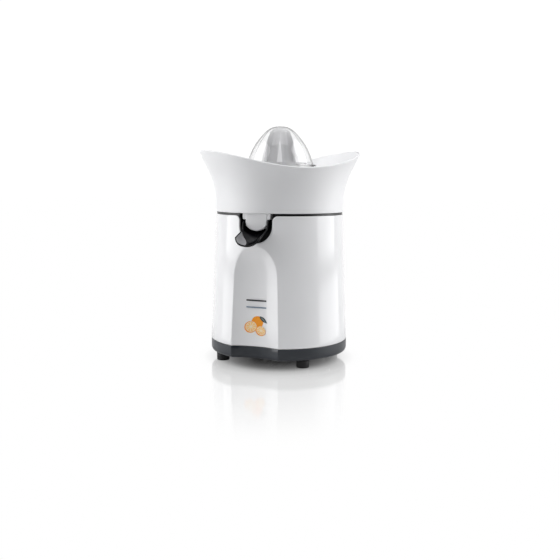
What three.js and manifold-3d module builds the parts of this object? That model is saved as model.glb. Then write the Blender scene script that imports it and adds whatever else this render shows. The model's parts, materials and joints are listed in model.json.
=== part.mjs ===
// Electric citrus press: a round motor housing on a dark base, a lift-off flared bowl with a flip-up
// spout, a strainer, and a small reamer cone nested inside a large clear one on a press-to-run spindle.
// Millimetres, +Z up. The origin is on the table, under the middle of the whole outline. The spout points
// towards -Y. Everything is drawn about the drive axis, which stands AXIS_Y behind the origin.
import * as THREE from "three";
import { mergeVertices } from "three/addons/utils/BufferGeometryUtils.js";
import Module from "manifold-3d";

const wasm = await Module();
wasm.setup();

// ---------------------------------------------------------------- driving dimensions
const AXIS_Y = 4;
const GAP = 0.3; // between pieces that touch
const ROUND = 36; // segments around a large turned piece
const SMALL_ROUND = 12; // segments around a screw, pin or foot

const FOOT_RADIUS = 7.2;
const FOOT_CIRCLE = 67.8;
const FOOT_ANGLES = [44, 134, 224, 314];

const BASE_BOTTOM = 9;
const BASE_TOP = 22;
const BASE_RADIUS = 77.5;
const BASE_WALL = 2.6;
const BASE_FLOOR = 3;

const BODY_BOTTOM = BASE_TOP + GAP;
const BODY_TOP = 163.6;
const BODY_RADIUS_BOTTOM = 77.5;
const BODY_RADIUS_TOP = 72;
const BODY_WALL = 2.5;

const PANEL_HALF = 27.5; // the hollow front panel, from its middle to its edges at the base
const PANEL_EDGE_Y = 72.4;
const PANEL_HOLLOW = 75; // radius of the hollow across the panel
const PANEL_LEAN = 0.0165; // how far it leans back per rise
const PANEL_BEND_Z = 98; // above this the panel curves forward to meet the housing
const PANEL_ARC = 76;
const PANEL_REACH = 34;
const PANEL_LEVELS = [-1, BASE_TOP, PANEL_BEND_Z, 106, 113, 120, 126, 132, 140];

const NOTCH_HALF = 18.8; // U-shaped opening for the spout, in the top of the housing
const NOTCH_CENTRE_Z = 153.1;
const NOTCH_FILLET = 5.5;
const LINER_WALL = 1.8;
const LINER_BACK_Y = 51.8;

const BOSS_CIRCLE = 67;
const BOSS_RADIUS = 5.5;
const BOSS_ANGLES = [75, 195, 290];
const BOSS_TOP = 98;

const DECK_BOTTOM = BODY_TOP + GAP;
const DECK_TOP = 166;
const DECK_RADIUS = 71;
const COLLAR_RADIUS = 12;
const COLLAR_TOP = 186;

const BOWL_BOTTOM = DECK_TOP + GAP;
const BOWL_RADIUS = 72;
const BOWL_WALL = 2.4;
const BOWL_UNDERSIDE = 168.8;
const TUBE_INNER = 14.2;
const TUBE_OUTER = 16.6;
const TUBE_TOP = 204.4;
const FLARE_START_Z = 174;
const FLARE_ARC = 87;
const FLARE_SLOPE = 0.5; // outward run per rise, above the arc
const RIM_MEAN_Z = 225.3;
const RIM_WAVE = 9.15;
const RIM_TILT = 1.25;
const RIM_PEAK_DEG = 132.5; // one crest of the rim, from the spout towards +X; the other is opposite
const WAVE_START_Z = 186;

const TONGUE_HALF = 12.3;
const TONGUE_FRONT_Y = 69;
const TONGUE_BACK_Y = 60;
const TONGUE_BOTTOM = 147.5;
const TONGUE_ARC = 15.6;
const SHOULDER_HALF = 16;
const SHOULDER_BOTTOM = 159.7;

const SPOUT_REACH = 96;
const SPOUT_SLOPE = 0.377; // fall per outward run
const SPOUT_TIP_BOTTOM_Z = 132;
const SPOUT_TIP_CORNER = 8;
const SPOUT_HALF = 14.9;
const SPOUT_DEPTH = 10;
const SPOUT_WALL = 1.6;
const SPOUT_RIM_Y = 72.5;
const SPOUT_RIM_Z = 148.8;
const SPOUT_BACK_Y = 55.4;
const PIVOT_Y = 66;
const PIVOT_Z = 153.5;
const LUG_RADIUS = 5.6;

const STRAINER_RADIUS = 71.4;
const STRAINER_RIM_Z = 197;
const STRAINER_LOW_Z = 188;
const STRAINER_SLOTS = 12;

const CONE_BOTTOM = 206;
const CONE_RIBS = 10;
const CONE_SEGMENTS = 40;
const SMALL_CONE_RIBS = 6;
const SMALL_CONE_FIRST_RIB = 20; // degrees from the front
const SMALL_CONE_SEGMENTS = 36;

const SQUARE_TOP = 7; // drive square under the cones
const SQUARE_LOW = 6; // drive square in the output gear
const SHAFT_RADIUS = 4.2;
const SHAFT_PIN_RADIUS = 3;
const SHAFT_BOTTOM = 88;
const SHAFT_TOP = 228;

const PLATE_BOTTOM = BOSS_TOP + GAP;
const PLATE_TOP = PLATE_BOTTOM + 3;
const PLATE_RADIUS = 64;
const PLATE_FRONT_Y = 61;

const GEAR_MODULE = 1.25;
const OUTPUT_TEETH = 44;
const IDLER_SMALL_TEETH = 11;
const IDLER_LARGE_TEETH = 40;
const PINION_TEETH = 10;
const IDLER_DISTANCE = (GEAR_MODULE * (OUTPUT_TEETH + IDLER_SMALL_TEETH)) / 2;
const PINION_DISTANCE = (GEAR_MODULE * (IDLER_LARGE_TEETH + PINION_TEETH)) / 2;
const IDLER_AT = [0, IDLER_DISTANCE];
const PINION_SIDE_DEG = 225; // direction from the idler to the motor pinion
const PINION_DIRECTION = THREE.MathUtils.degToRad(PINION_SIDE_DEG);
const MOTOR_AT = [
  IDLER_AT[0] + PINION_DISTANCE * Math.cos(PINION_DIRECTION),
  IDLER_AT[1] + PINION_DISTANCE * Math.sin(PINION_DIRECTION),
];
const STAGE_ONE_Z = [105, 110];
const STAGE_TWO_Z = [112.5, 118.5];

const STATOR_Z = [48, 72];
const STATOR_BORE = 15.3;
const ROTOR_RADIUS = 14.8;
const MOTOR_SHAFT = 2.5;
const MOTOR_SCREW_X = [MOTOR_AT[0] - 22, MOTOR_AT[0] + 22];

const CORD_Z = 40;
const CORD_BORE = 3.6;

// ---------------------------------------------------------------- materials
function material(color, roughness, metalness = 0, opacity = 1) {
  return new THREE.MeshStandardMaterial({
    color,
    roughness,
    metalness,
    opacity,
    transparent: opacity < 1,
  });
}

const whiteGloss = material(0xe9e9ea, 0.15);
const whiteSatin = material(0xe4e4e5, 0.42);
const darkBase = material(0x2b2f37, 0.4);
const blackGloss = material(0x0d0d0f, 0.15);
const blackSatin = material(0x17181a, 0.45);
const greyPlastic = material(0x9b9b9c, 0.4);
const clearPlastic = material(0xf2f4f4, 0.05, 0, 0.3);
const rubber = material(0x141416, 0.8);
const steel = material(0xb9bbbe, 0.35, 1);
const lamination = material(0x6f7276, 0.5, 1);
const copper = material(0xa85a32, 0.4, 1);
const nylon = material(0xdcd8cb, 0.5);

// ---------------------------------------------------------------- solids from three.js geometry

// Joins shared vertices, drops collapsed triangles and turns the faces outwards.
function solid(geometry) {
  const bare = geometry.index ? geometry.toNonIndexed() : geometry.clone();
  bare.deleteAttribute("normal");
  bare.deleteAttribute("uv");
  const merged = mergeVertices(bare, 1e-4);
  const vertices = merged.attributes.position.array;
  const kept = [];
  const index = merged.index.array;
  for (let i = 0; i < index.length; i += 3) {
    const [a, b, c] = index.slice(i, i + 3);
    if (a !== b && b !== c && c !== a) kept.push(a, b, c);
  }
  if (signedVolume(vertices, kept) < 0) kept.reverse();
  return new wasm.Manifold(
    new wasm.Mesh({
      numProp: 3,
      vertProperties: vertices,
      triVerts: new Uint32Array(kept),
    }),
  );
}

function signedVolume(vertices, index) {
  const corner = [new THREE.Vector3(), new THREE.Vector3(), new THREE.Vector3()];
  let sum = 0;
  for (let i = 0; i < index.length; i += 3) {
    corner.forEach((point, k) => point.fromArray(vertices, index[i + k] * 3));
    sum += corner[0].dot(corner[1].cross(corner[2]));
  }
  return sum / 6;
}

// A closed outline of [radius, height] points, turned about the vertical axis. reshape, when given,
// moves each vertex after turning: it gets radius, height and the angle from the spout towards +X.
function turned(outline, segments = ROUND, reshape = null) {
  const closed = [...outline, outline[0]].map(([r, z]) => new THREE.Vector2(r, z));
  const geometry = new THREE.LatheGeometry(closed, segments);
  geometry.rotateX(Math.PI / 2);
  if (reshape) {
    const position = geometry.attributes.position;
    for (let i = 0; i < position.count; i++) {
      const angle = Math.atan2(position.getX(i), -position.getY(i));
      const radius = Math.hypot(position.getX(i), position.getY(i));
      const [r, z] = reshape(radius, position.getZ(i), angle);
      position.setXYZ(i, r * Math.sin(angle), -r * Math.cos(angle), z);
    }
  }
  return solid(geometry);
}

// An outline pushed along one axis. It is drawn in (y, z) for "x", (x, z) for "y" and (x, y) for "z".
function prism(outline, along, from, to) {
  const shape = new THREE.Shape(outline.map(([a, b]) => new THREE.Vector2(a, b)));
  const geometry = new THREE.ExtrudeGeometry(shape, { depth: to - from, bevelEnabled: false });
  geometry.translate(0, 0, from);
  const x = new THREE.Vector3(1, 0, 0);
  const y = new THREE.Vector3(0, 1, 0);
  const z = new THREE.Vector3(0, 0, 1);
  const axes = { x: [y, z, x], y: [x, z, y], z: [x, y, z] }[along];
  geometry.applyMatrix4(new THREE.Matrix4().makeBasis(...axes));
  return solid(geometry);
}

function box(xs, ys, zs) {
  const geometry = new THREE.BoxGeometry(xs[1] - xs[0], ys[1] - ys[0], zs[1] - zs[0]);
  geometry.translate((xs[0] + xs[1]) / 2, (ys[0] + ys[1]) / 2, (zs[0] + zs[1]) / 2);
  return solid(geometry);
}

function rod(radius, from, to, at = [0, 0], segments = SMALL_ROUND) {
  const geometry = new THREE.CylinderGeometry(radius, radius, to - from, segments);
  geometry.rotateX(Math.PI / 2);
  geometry.translate(at[0], at[1], (from + to) / 2);
  return solid(geometry);
}

function crossRod(radius, from, to, y, z, along = "x", segments = SMALL_ROUND) {
  const geometry = new THREE.CylinderGeometry(radius, radius, to - from, segments);
  if (along === "x") {
    geometry.rotateZ(Math.PI / 2);
    geometry.translate((from + to) / 2, y, z);
  } else {
    geometry.translate(y, (from + to) / 2, z);
  }
  return solid(geometry);
}

function arc(centre, radius, fromDeg, toDeg, steps) {
  return Array.from({ length: steps + 1 }, (_, i) => {
    const angle = THREE.MathUtils.degToRad(fromDeg + ((toDeg - fromDeg) * i) / steps);
    return [centre[0] + radius * Math.cos(angle), centre[1] + radius * Math.sin(angle)];
  });
}

// A point on a circle about the drive axis, at an angle from the spout towards +X.
function around(radius, degrees) {
  const angle = THREE.MathUtils.degToRad(degrees);
  return [radius * Math.sin(angle), -radius * Math.cos(angle)];
}

function joined(first, ...rest) {
  return rest.reduce((sum, next) => sum.add(next), first);
}

function cut(from, ...tools) {
  return tools.reduce((left, tool) => left.subtract(tool), from);
}

const press = new THREE.Group();
press.position.y = AXIS_Y;

function add(name, piece, look) {
  const data = piece.getMesh();
  const geometry = new THREE.BufferGeometry();
  geometry.setAttribute("position", new THREE.BufferAttribute(data.vertProperties, 3));
  geometry.setIndex(new THREE.BufferAttribute(data.triVerts, 1));
  geometry.computeVertexNormals();
  const mesh = new THREE.Mesh(geometry, look);
  mesh.name = name;
  press.add(mesh);
}

// ---------------------------------------------------------------- base, feet and fasteners

function basePan() {
  const outer = turned([
    [0, BASE_BOTTOM],
    [BASE_RADIUS - 2.2, BASE_BOTTOM],
    [BASE_RADIUS - 0.9, BASE_BOTTOM + 1],
    [BASE_RADIUS, BASE_BOTTOM + 4],
    [BASE_RADIUS, BASE_TOP],
    [0, BASE_TOP],
  ]);
  const floorTop = BASE_BOTTOM + BASE_FLOOR;
  const hollow = turned([
    [0, floorTop],
    [BASE_RADIUS - BASE_WALL, floorTop],
    [BASE_RADIUS - BASE_WALL, BASE_TOP + 1],
    [0, BASE_TOP + 1],
  ]);
  const footHoles = FOOT_ANGLES.map((a) => rod(3, 8, 14, around(FOOT_CIRCLE, a)));
  const screwHoles = BOSS_ANGLES.map((a) => rod(1.8, 8, 14, around(BOSS_CIRCLE, a)));
  const vents = [-24, -12, 0, 12, 24].map((x) => box([x - 1.5, x + 1.5], [-34, 6], [8, 14]));
  return cut(
    outer,
    panelCut(0),
    cut(hollow, panelCut(BASE_WALL)),
    ...footHoles,
    ...screwHoles,
    ...vents,
  );
}

function foot(angle) {
  const top = BASE_BOTTOM - GAP;
  const piece = turned(
    [
      [0, 0],
      [FOOT_RADIUS - 0.8, 0],
      [FOOT_RADIUS, 0.8],
      [FOOT_RADIUS, top],
      [2.7, top],
      [2.7, top + 4.6],
      [0, top + 4.6],
    ],
    SMALL_ROUND,
  );
  return piece.translate([...around(FOOT_CIRCLE, angle), 0]);
}

function screw(at, headFrom, headTo, tip, headRadius = 3.2, shankRadius = 1.4) {
  const up = tip > headTo;
  const [from, to] = up ? [headFrom + 0.5, tip] : [tip, headTo - 0.5];
  const shank = rod(shankRadius, from, to, at, 8);
  return joined(rod(headRadius, headFrom, headTo, at), shank);
}

// ---------------------------------------------------------------- housing

// How far in front of the drive axis the panel's surface stands.
function panelDepth(x, z) {
  const acrossEdge = Math.sqrt(PANEL_HOLLOW ** 2 - PANEL_HALF ** 2);
  const hollow = Math.sqrt(PANEL_HOLLOW ** 2 - x ** 2) - acrossEdge;
  const rise = Math.max(z - PANEL_BEND_Z, 0);
  const forward = PANEL_ARC - Math.sqrt(PANEL_ARC ** 2 - rise ** 2);
  return PANEL_EDGE_Y - PANEL_LEAN * (z - BASE_TOP) + forward - hollow;
}

// Everything in front of the hollow front panel, moved inwards by inset for the inner wall.
function panelCut(inset) {
  const steps = PANEL_LEVELS.length - 1;
  const geometry = new THREE.BoxGeometry(2 * PANEL_REACH, 2, steps, 12, 1, steps);
  const position = geometry.attributes.position;
  for (let i = 0; i < position.count; i++) {
    const x = position.getX(i);
    const z = PANEL_LEVELS[Math.round(position.getZ(i) + steps / 2)];
    const y = position.getY(i) < 0 ? -120 : inset - panelDepth(x, z);
    position.setXYZ(i, x, y, z);
  }
  return solid(geometry);
}

function bodyOuter() {
  return turned([
    [0, BODY_BOTTOM],
    [BODY_RADIUS_BOTTOM - 0.9, BODY_BOTTOM],
    [BODY_RADIUS_BOTTOM, BODY_BOTTOM + 0.9],
    [BODY_RADIUS_TOP, BODY_TOP - 0.7],
    [BODY_RADIUS_TOP - 0.7, BODY_TOP],
    [0, BODY_TOP],
  ]);
}

// The U outline of the spout opening in (x, z), shrunk by inset, with its top corners rounded outwards.
function notchOutline(inset, top) {
  const half = NOTCH_HALF - inset;
  const cornerZ = BODY_TOP - NOTCH_FILLET;
  const cornerX = NOTCH_HALF + NOTCH_FILLET;
  const corner = arc([cornerX, cornerZ], NOTCH_FILLET + inset, 180, 100, 5);
  const right = [...corner, [cornerX, top]];
  const left = right.map(([x, z]) => [-x, z]).reverse();
  return [...arc([0, NOTCH_CENTRE_Z], half, 180, 360, 14), ...right, ...left];
}

function boss(angle, top) {
  const [x, y] = around(BOSS_CIRCLE, angle);
  const post = rod(BOSS_RADIUS, BODY_BOTTOM, top, [x, y]);
  const web = box([-2, 2], [-BODY_RADIUS_BOTTOM, -BOSS_CIRCLE], [BODY_BOTTOM, top]).rotate([0, 0, angle]);
  return joined(post, web);
}

function bodyShell() {
  const inner = turned([
    [0, BODY_BOTTOM - 2],
    [BODY_RADIUS_BOTTOM - BODY_WALL, BODY_BOTTOM - 2],
    [BODY_RADIUS_TOP - BODY_WALL, BODY_TOP + 1],
    [0, BODY_TOP + 1],
  ]);
  const outer = cut(bodyOuter(), panelCut(0));
  const bosses = BOSS_ANGLES.map((a) => boss(a, BOSS_TOP).intersect(outer));
  const screwHoles = BOSS_ANGLES.flatMap((a) => [
    rod(1.7, BODY_BOTTOM - 1, 36, around(BOSS_CIRCLE, a)),
    rod(1.7, BOSS_TOP - 12, BOSS_TOP + 1, around(BOSS_CIRCLE, a)),
  ]);
  const shell = cut(
    outer,
    cut(inner, panelCut(BODY_WALL)),
    prism(notchOutline(0, BODY_TOP + 4), "y", -90, -48),
    crossRod(6, 60, 90, 0, CORD_Z, "y"),
  );
  return cut(joined(shell, ...bosses), ...screwHoles);
}

function spoutLiner() {
  const outside = prism(notchOutline(GAP, BODY_TOP + 2), "y", -90, -LINER_BACK_Y);
  const inside = prism(notchOutline(GAP + LINER_WALL, BODY_TOP + 3), "y", -91, -LINER_BACK_Y - LINER_WALL);
  return cut(outside, inside).intersect(bodyOuter());
}

function topDeck() {
  const disc = turned([
    [6.6, 158],
    [COLLAR_RADIUS, 158],
    [COLLAR_RADIUS, DECK_BOTTOM],
    [66.6, DECK_BOTTOM],
    [66.6, 157],
    [68.6, 157],
    [68.6, DECK_BOTTOM],
    [DECK_RADIUS, DECK_BOTTOM],
    [DECK_RADIUS, DECK_TOP],
    [COLLAR_RADIUS, DECK_TOP],
    [COLLAR_RADIUS, COLLAR_TOP],
    [6.6, COLLAR_TOP],
  ]);
  const spoutBay = box([-NOTCH_HALF - GAP, NOTCH_HALF + GAP], [-90, -LINER_BACK_Y + GAP], [150, 170]);
  const linerEars = box([-28, 28], [-90, -LINER_BACK_Y + GAP], [150, DECK_BOTTOM - 0.01]);
  return cut(disc, spoutBay, linerEars);
}

// A plain ring or bush about the drive axis.
function ring(inner, outer, from, to, segments = 20) {
  return turned(
    [
      [inner, from],
      [outer, from],
      [outer, to],
      [inner, to],
    ],
    segments,
  );
}

function cordGrommet() {
  const neck = crossRod(5.6, 71, 80, 0, CORD_Z, "y", 16);
  const outerCollar = crossRod(8.2, 77.2, 80.4, 0, CORD_Z, "y", 16);
  const innerCollar = crossRod(7.6, 69, 72.8, 0, CORD_Z, "y", 16);
  return cut(joined(neck, outerCollar, innerCollar), crossRod(CORD_BORE, 60, 90, 0, CORD_Z, "y", 16));
}

function cordClamp() {
  const bottom = BASE_BOTTOM + BASE_FLOOR + GAP;
  const block = box([-11, 11], [52, 60], [bottom, bottom + 8]);
  return cut(block, crossRod(CORD_BORE, 50, 62, 0, bottom + 3, "y", 12));
}

// ---------------------------------------------------------------- bowl, spout and strainer

function flareRadius(z) {
  const arcTop = FLARE_START_Z + FLARE_ARC * Math.sin(Math.atan(FLARE_SLOPE));
  const rise = Math.min(Math.max(z - FLARE_START_Z, 0), arcTop - FLARE_START_Z);
  const onArc = BOWL_RADIUS + FLARE_ARC - Math.sqrt(FLARE_ARC ** 2 - rise ** 2);
  return onArc + FLARE_SLOPE * Math.max(z - arcTop, 0);
}

function rimHeight(angle) {
  const fromCrest = angle - THREE.MathUtils.degToRad(RIM_PEAK_DEG);
  return RIM_MEAN_Z + RIM_WAVE * Math.cos(2 * fromCrest) - RIM_TILT * Math.cos(angle);
}

// Stretches the wall above WAVE_START_Z so that its top follows the wavy rim along the same flare.
function wavyRim(radius, z, angle) {
  if (z < WAVE_START_Z) return [radius, z];
  const share = (z - WAVE_START_Z) / (RIM_MEAN_Z - WAVE_START_Z);
  const height = WAVE_START_Z + share * (rimHeight(angle) - WAVE_START_Z);
  return [radius + flareRadius(height) - flareRadius(z), height];
}

function bowlBody() {
  const levels = [FLARE_START_Z, WAVE_START_Z, 196, 207, RIM_MEAN_Z - 0.7];
  const outside = levels.map((z) => [flareRadius(z), z]);
  const inside = levels.map((z) => [flareRadius(z) - BOWL_WALL, z]).reverse();
  const outline = [
    [BOWL_RADIUS - 4, BOWL_BOTTOM],
    [BOWL_RADIUS, BOWL_BOTTOM],
    ...outside,
    [flareRadius(RIM_MEAN_Z) - 0.7, RIM_MEAN_Z],
    [flareRadius(RIM_MEAN_Z) - BOWL_WALL + 0.5, RIM_MEAN_Z],
    ...inside,
    [66, 171.2],
    [19, 173.6],
    [TUBE_OUTER, 176],
    [TUBE_OUTER, TUBE_TOP],
    [TUBE_INNER, TUBE_TOP],
    [TUBE_INNER, BOWL_UNDERSIDE],
    [BOWL_RADIUS - 4.4, BOWL_UNDERSIDE],
  ];
  return turned(outline, ROUND, wavyRim);
}

// The spout duct under the bowl: its front is the tongue seen between the lever's arms.
function spoutDuct() {
  const arcCentreZ = TONGUE_BOTTOM + TONGUE_ARC;
  const halfAngle = THREE.MathUtils.radToDeg(Math.asin(TONGUE_HALF / TONGUE_ARC));
  const outline = [
    [-TONGUE_HALF, BOWL_UNDERSIDE + 1],
    ...arc([0, arcCentreZ], TONGUE_ARC, 270 - halfAngle, 270 + halfAngle, 8),
    [TONGUE_HALF, BOWL_UNDERSIDE + 1],
  ];
  const bottomSlope = [
    [-TONGUE_FRONT_Y, TONGUE_BOTTOM],
    [-TONGUE_BACK_Y + 1, TONGUE_BOTTOM + (TONGUE_FRONT_Y - TONGUE_BACK_Y + 1) * SPOUT_SLOPE],
    [-TONGUE_BACK_Y + 1, TONGUE_BOTTOM - 4],
    [-TONGUE_FRONT_Y, TONGUE_BOTTOM - 4],
  ];
  const block = cut(
    prism(outline, "y", -TONGUE_FRONT_Y, -TONGUE_BACK_Y),
    prism(bottomSlope, "x", -TONGUE_HALF - 1, TONGUE_HALF + 1),
  );
  const shoulders = box(
    [-SHOULDER_HALF, SHOULDER_HALF],
    [-TONGUE_FRONT_Y + 0.8, -60],
    [SHOULDER_BOTTOM, BOWL_UNDERSIDE + 0.5],
  );
  return joined(block, shoulders);
}

function bowl() {
  const drain = box(
    [-TONGUE_HALF + 1.9, TONGUE_HALF - 1.9],
    [-TONGUE_FRONT_Y + 1.9, -TONGUE_BACK_Y - 1.8],
    [TONGUE_BOTTOM - 6, 176],
  );
  const pivotHole = crossRod(1.8, -TONGUE_HALF - 1, TONGUE_HALF + 1, -PIVOT_Y, PIVOT_Z);
  return cut(joined(bowlBody(), spoutDuct()), drain, pivotHole);
}

// The trough's channel in (x, z): a half ellipse with straight walls above it, lowest point at 0.
function channelOutline(half, depth, top) {
  const steps = 12;
  const round = Array.from({ length: steps + 1 }, (_, i) => {
    const angle = Math.PI + (Math.PI * i) / steps;
    return [half * Math.cos(angle), depth + depth * Math.sin(angle)];
  });
  return [[-half, top], ...round, [half, top]];
}

// The spout trough slopes down to its tip, and its side walls run up past the tongue as two arms.
function channel(half, depth, lift, from, to) {
  const outline = channelOutline(half, depth, 40);
  const level = prism(outline, "y", from + SPOUT_REACH, to + SPOUT_REACH);
  const slope = [1, 0, 0, 0, 1, SPOUT_SLOPE, 0, 0, 1, 0, 0, 0];
  return level.transform(columns(slope)).translate([0, -SPOUT_REACH, SPOUT_TIP_BOTTOM_Z + lift]);
}

// Twelve numbers, three for each image of x, y, z and the origin, as a 4 x 4 matrix by columns.
function columns(values) {
  const matrix = [];
  for (let i = 0; i < 12; i += 3) matrix.push(...values.slice(i, i + 3), i === 9 ? 1 : 0);
  return matrix;
}

function spoutLever() {
  const outer = channel(SPOUT_HALF, SPOUT_DEPTH, 0, -SPOUT_REACH - 4, -SPOUT_BACK_Y);
  const inner = channel(
    SPOUT_HALF - SPOUT_WALL,
    SPOUT_DEPTH - SPOUT_WALL,
    SPOUT_WALL * 1.05,
    -SPOUT_REACH - 5,
    -SPOUT_BACK_Y - SPOUT_WALL,
  );
  const past = SPOUT_REACH + 3;
  const sideView = [
    [-past, 120],
    [-past, SPOUT_RIM_Z - (past - SPOUT_RIM_Y) * SPOUT_SLOPE],
    [-SPOUT_RIM_Y, SPOUT_RIM_Z],
    ...arc([-PIVOT_Y, PIVOT_Z], LUG_RADIUS, 180, 0, 8),
    [-SPOUT_BACK_Y, 150.5],
    [-SPOUT_BACK_Y, 120],
  ];
  const corner = SPOUT_HALF - SPOUT_TIP_CORNER + 0.3;
  const tipLine = -SPOUT_REACH + SPOUT_TIP_CORNER;
  const plan = [
    [-SPOUT_HALF - 0.3, -50],
    ...arc([-corner, tipLine], SPOUT_TIP_CORNER, 180, 270, 6),
    ...arc([corner, tipLine], SPOUT_TIP_CORNER, 270, 360, 6),
    [SPOUT_HALF + 0.3, -50],
  ];
  const trough = cut(outer, inner)
    .intersect(prism(sideView, "x", -20, 20))
    .intersect(prism(plan, "z", 120, 170));
  const pins = [-1, 1].map((side) => {
    const ends = [side * (TONGUE_HALF - 1.2), side * (SPOUT_HALF - 0.4)].sort((a, b) => a - b);
    return crossRod(1.4, ends[0], ends[1], -PIVOT_Y, PIVOT_Z);
  });
  return joined(trough, ...pins);
}

function strainer() {
  const dish = turned([
    [STRAINER_RADIUS - 3.4, STRAINER_RIM_Z - 3],
    [42, STRAINER_LOW_Z - 2],
    [20, STRAINER_LOW_Z - 2],
    [20, 200.8],
    [22, 200.8],
    [22, STRAINER_LOW_Z],
    [41, STRAINER_LOW_Z],
    [STRAINER_RADIUS - 3.6, STRAINER_RIM_Z - 0.6],
    [STRAINER_RADIUS, STRAINER_RIM_Z + 1.8],
    [STRAINER_RADIUS, STRAINER_RIM_Z],
  ]);
  const slots = Array.from({ length: STRAINER_SLOTS }, (_, i) =>
    box([-1.3, 1.3], [-64, -27], [180, 200]).rotate([0, 0, (360 / STRAINER_SLOTS) * i]),
  );
  return cut(dish, ...slots);
}

// ---------------------------------------------------------------- reamer cones

// Ribs that stand out of a cone, strongest where the cone is wide and gone below its flange.
function ribbed(ribs, depth, flangeZ, firstRib = 0) {
  return (radius, z, angle) => {
    if (z < flangeZ || radius < 1) return [radius, z];
    const fade = Math.min(1, (z - flangeZ) / 4);
    const wave = 0.5 * Math.cos(ribs * (angle - THREE.MathUtils.degToRad(firstRib))) - 0.5;
    return [radius + fade * depth * Math.min(1, radius / 24) * wave, z];
  };
}

function smallCone() {
  const outline = [
    [0, 259.6],
    [7, 257],
    [13, 250],
    [16.8, 243],
    [20, 230],
    [23.4, 219.4],
    [26.4, CONE_BOTTOM],
    [24.2, CONE_BOTTOM],
    [20.4, 219],
    [16.6, 232],
    [13.4, 243],
    [7.6, 247],
    [7.6, CONE_BOTTOM],
    [0, CONE_BOTTOM],
  ];
  const half = (SQUARE_TOP + 2 * GAP) / 2;
  const socket = box([-half, half], [-half, half], [CONE_BOTTOM - 2, SHAFT_TOP + 1]);
  const ribs = ribbed(SMALL_CONE_RIBS, 4, 219.5, SMALL_CONE_FIRST_RIB);
  return cut(turned(outline, SMALL_CONE_SEGMENTS, ribs), socket);
}

function largeCone() {
  const outline = [
    [0, 262.5],
    [9, 261.3],
    [17.5, 255.2],
    [28.7, 241],
    [34.6, 229],
    [37.6, 219.4],
    [41, 219],
    [41, 217],
    [38.6, 217],
    [38.6, 208],
    [27, 208],
    [27, 209.8],
    [36.6, 209.8],
    [36.2, 219.4],
    [33.1, 229],
    [27.2, 240.2],
    [16, 253.8],
    [8, 259.7],
    [0, 261],
  ];
  return turned(outline, CONE_SEGMENTS, ribbed(CONE_RIBS, 0.8, 219.5));
}

// ---------------------------------------------------------------- spindle, press spring and switch

function driveShaft() {
  const low = SQUARE_LOW / 2;
  const top = SQUARE_TOP / 2;
  return joined(
    rod(SHAFT_PIN_RADIUS, SHAFT_BOTTOM, 112, [0, 0]),
    box([-low, low], [-low, low], [111.6, 131]),
    rod(SHAFT_RADIUS, 130, 206, [0, 0], 16),
    rod(6.4, 202.8, CONE_BOTTOM - GAP, [0, 0], 16),
    box([-top, top], [-top, top], [205, SHAFT_TOP]),
  );
}

function thrustCollar() {
  const collar = ring(SHAFT_PIN_RADIUS + GAP, 7.4, 109.8, 111.3);
  const tab = box([-2.4, 2.4], [-27, -6], [110.1, 111.3]);
  return joined(collar, tab);
}

class SpringPath extends THREE.Curve {
  constructor(radius, from, to, turns) {
    super();
    Object.assign(this, { radius, from, to, turns });
  }

  getPoint(t, target = new THREE.Vector3()) {
    const angle = 2 * Math.PI * this.turns * t;
    const z = this.from + (this.to - this.from) * t;
    return target.set(this.radius * Math.cos(angle), this.radius * Math.sin(angle), z);
  }
}

function pressSpring() {
  const wire = 0.6;
  const section = new THREE.Shape(arc([0, 0], wire, 0, 288, 4).map(([a, b]) => new THREE.Vector2(a, b)));
  const path = new SpringPath(5.7, 103.5, 108.8, 2.5);
  const geometry = new THREE.ExtrudeGeometry(section, { steps: 26, bevelEnabled: false, extrudePath: path });
  return solid(geometry);
}

function microSwitch() {
  const body = box([-8, 8], [-28, -21.5], [PLATE_TOP + GAP, 106]);
  return cut(body, box([-1.5, 1.5], [-26.3, -23.2], [102.3, 107]));
}

// ---------------------------------------------------------------- gearbox

// A spur gear outline with straight-flanked teeth and a little backlash, one tooth at turnDeg.
function gearOutline(teeth, turnDeg) {
  const pitch = (GEAR_MODULE * teeth) / 2;
  const tip = pitch + 0.8 * GEAR_MODULE;
  const root = pitch - 1.1 * GEAR_MODULE;
  const step = (2 * Math.PI) / teeth;
  const start = THREE.MathUtils.degToRad(turnDeg);
  const flank = [
    [root, -0.36],
    [tip, -0.13],
    [tip, 0.13],
    [root, 0.36],
  ];
  return Array.from({ length: teeth }, (_, i) =>
    flank.map(([r, share]) => {
      const angle = start + step * (i + share);
      return [r * Math.cos(angle), r * Math.sin(angle)];
    }),
  ).flat();
}

function gear(teeth, turnDeg, zs, at) {
  return prism(gearOutline(teeth, turnDeg), "z", zs[0], zs[1]).translate([...at, 0]);
}

function outputGear() {
  const half = (SQUARE_LOW + 2 * GAP) / 2;
  const wheel = joined(gear(OUTPUT_TEETH, 90, STAGE_TWO_Z, [0, 0]), rod(8, 111.9, 127, [0, 0], 24));
  return cut(wheel, box([-half, half], [-half, half], [110, 130]));
}

function idlerGear() {
  const meshing = 270 + 180 / IDLER_SMALL_TEETH;
  const wheel = joined(
    gear(IDLER_LARGE_TEETH, PINION_SIDE_DEG, STAGE_ONE_Z, IDLER_AT),
    gear(IDLER_SMALL_TEETH, meshing, [STAGE_ONE_Z[1] - 0.5, STAGE_TWO_Z[1] + 0.7], IDLER_AT),
  );
  return cut(wheel, rod(2.3, 100, 125, IDLER_AT, 16));
}

function motorPinion() {
  const facing = PINION_SIDE_DEG - 180 + 180 / PINION_TEETH;
  return cut(
    gear(PINION_TEETH, facing, [STAGE_ONE_Z[0] - 0.6, STAGE_ONE_Z[1] + 0.6], MOTOR_AT),
    rod(MOTOR_SHAFT + GAP, 100, 115, MOTOR_AT),
  );
}

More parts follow.
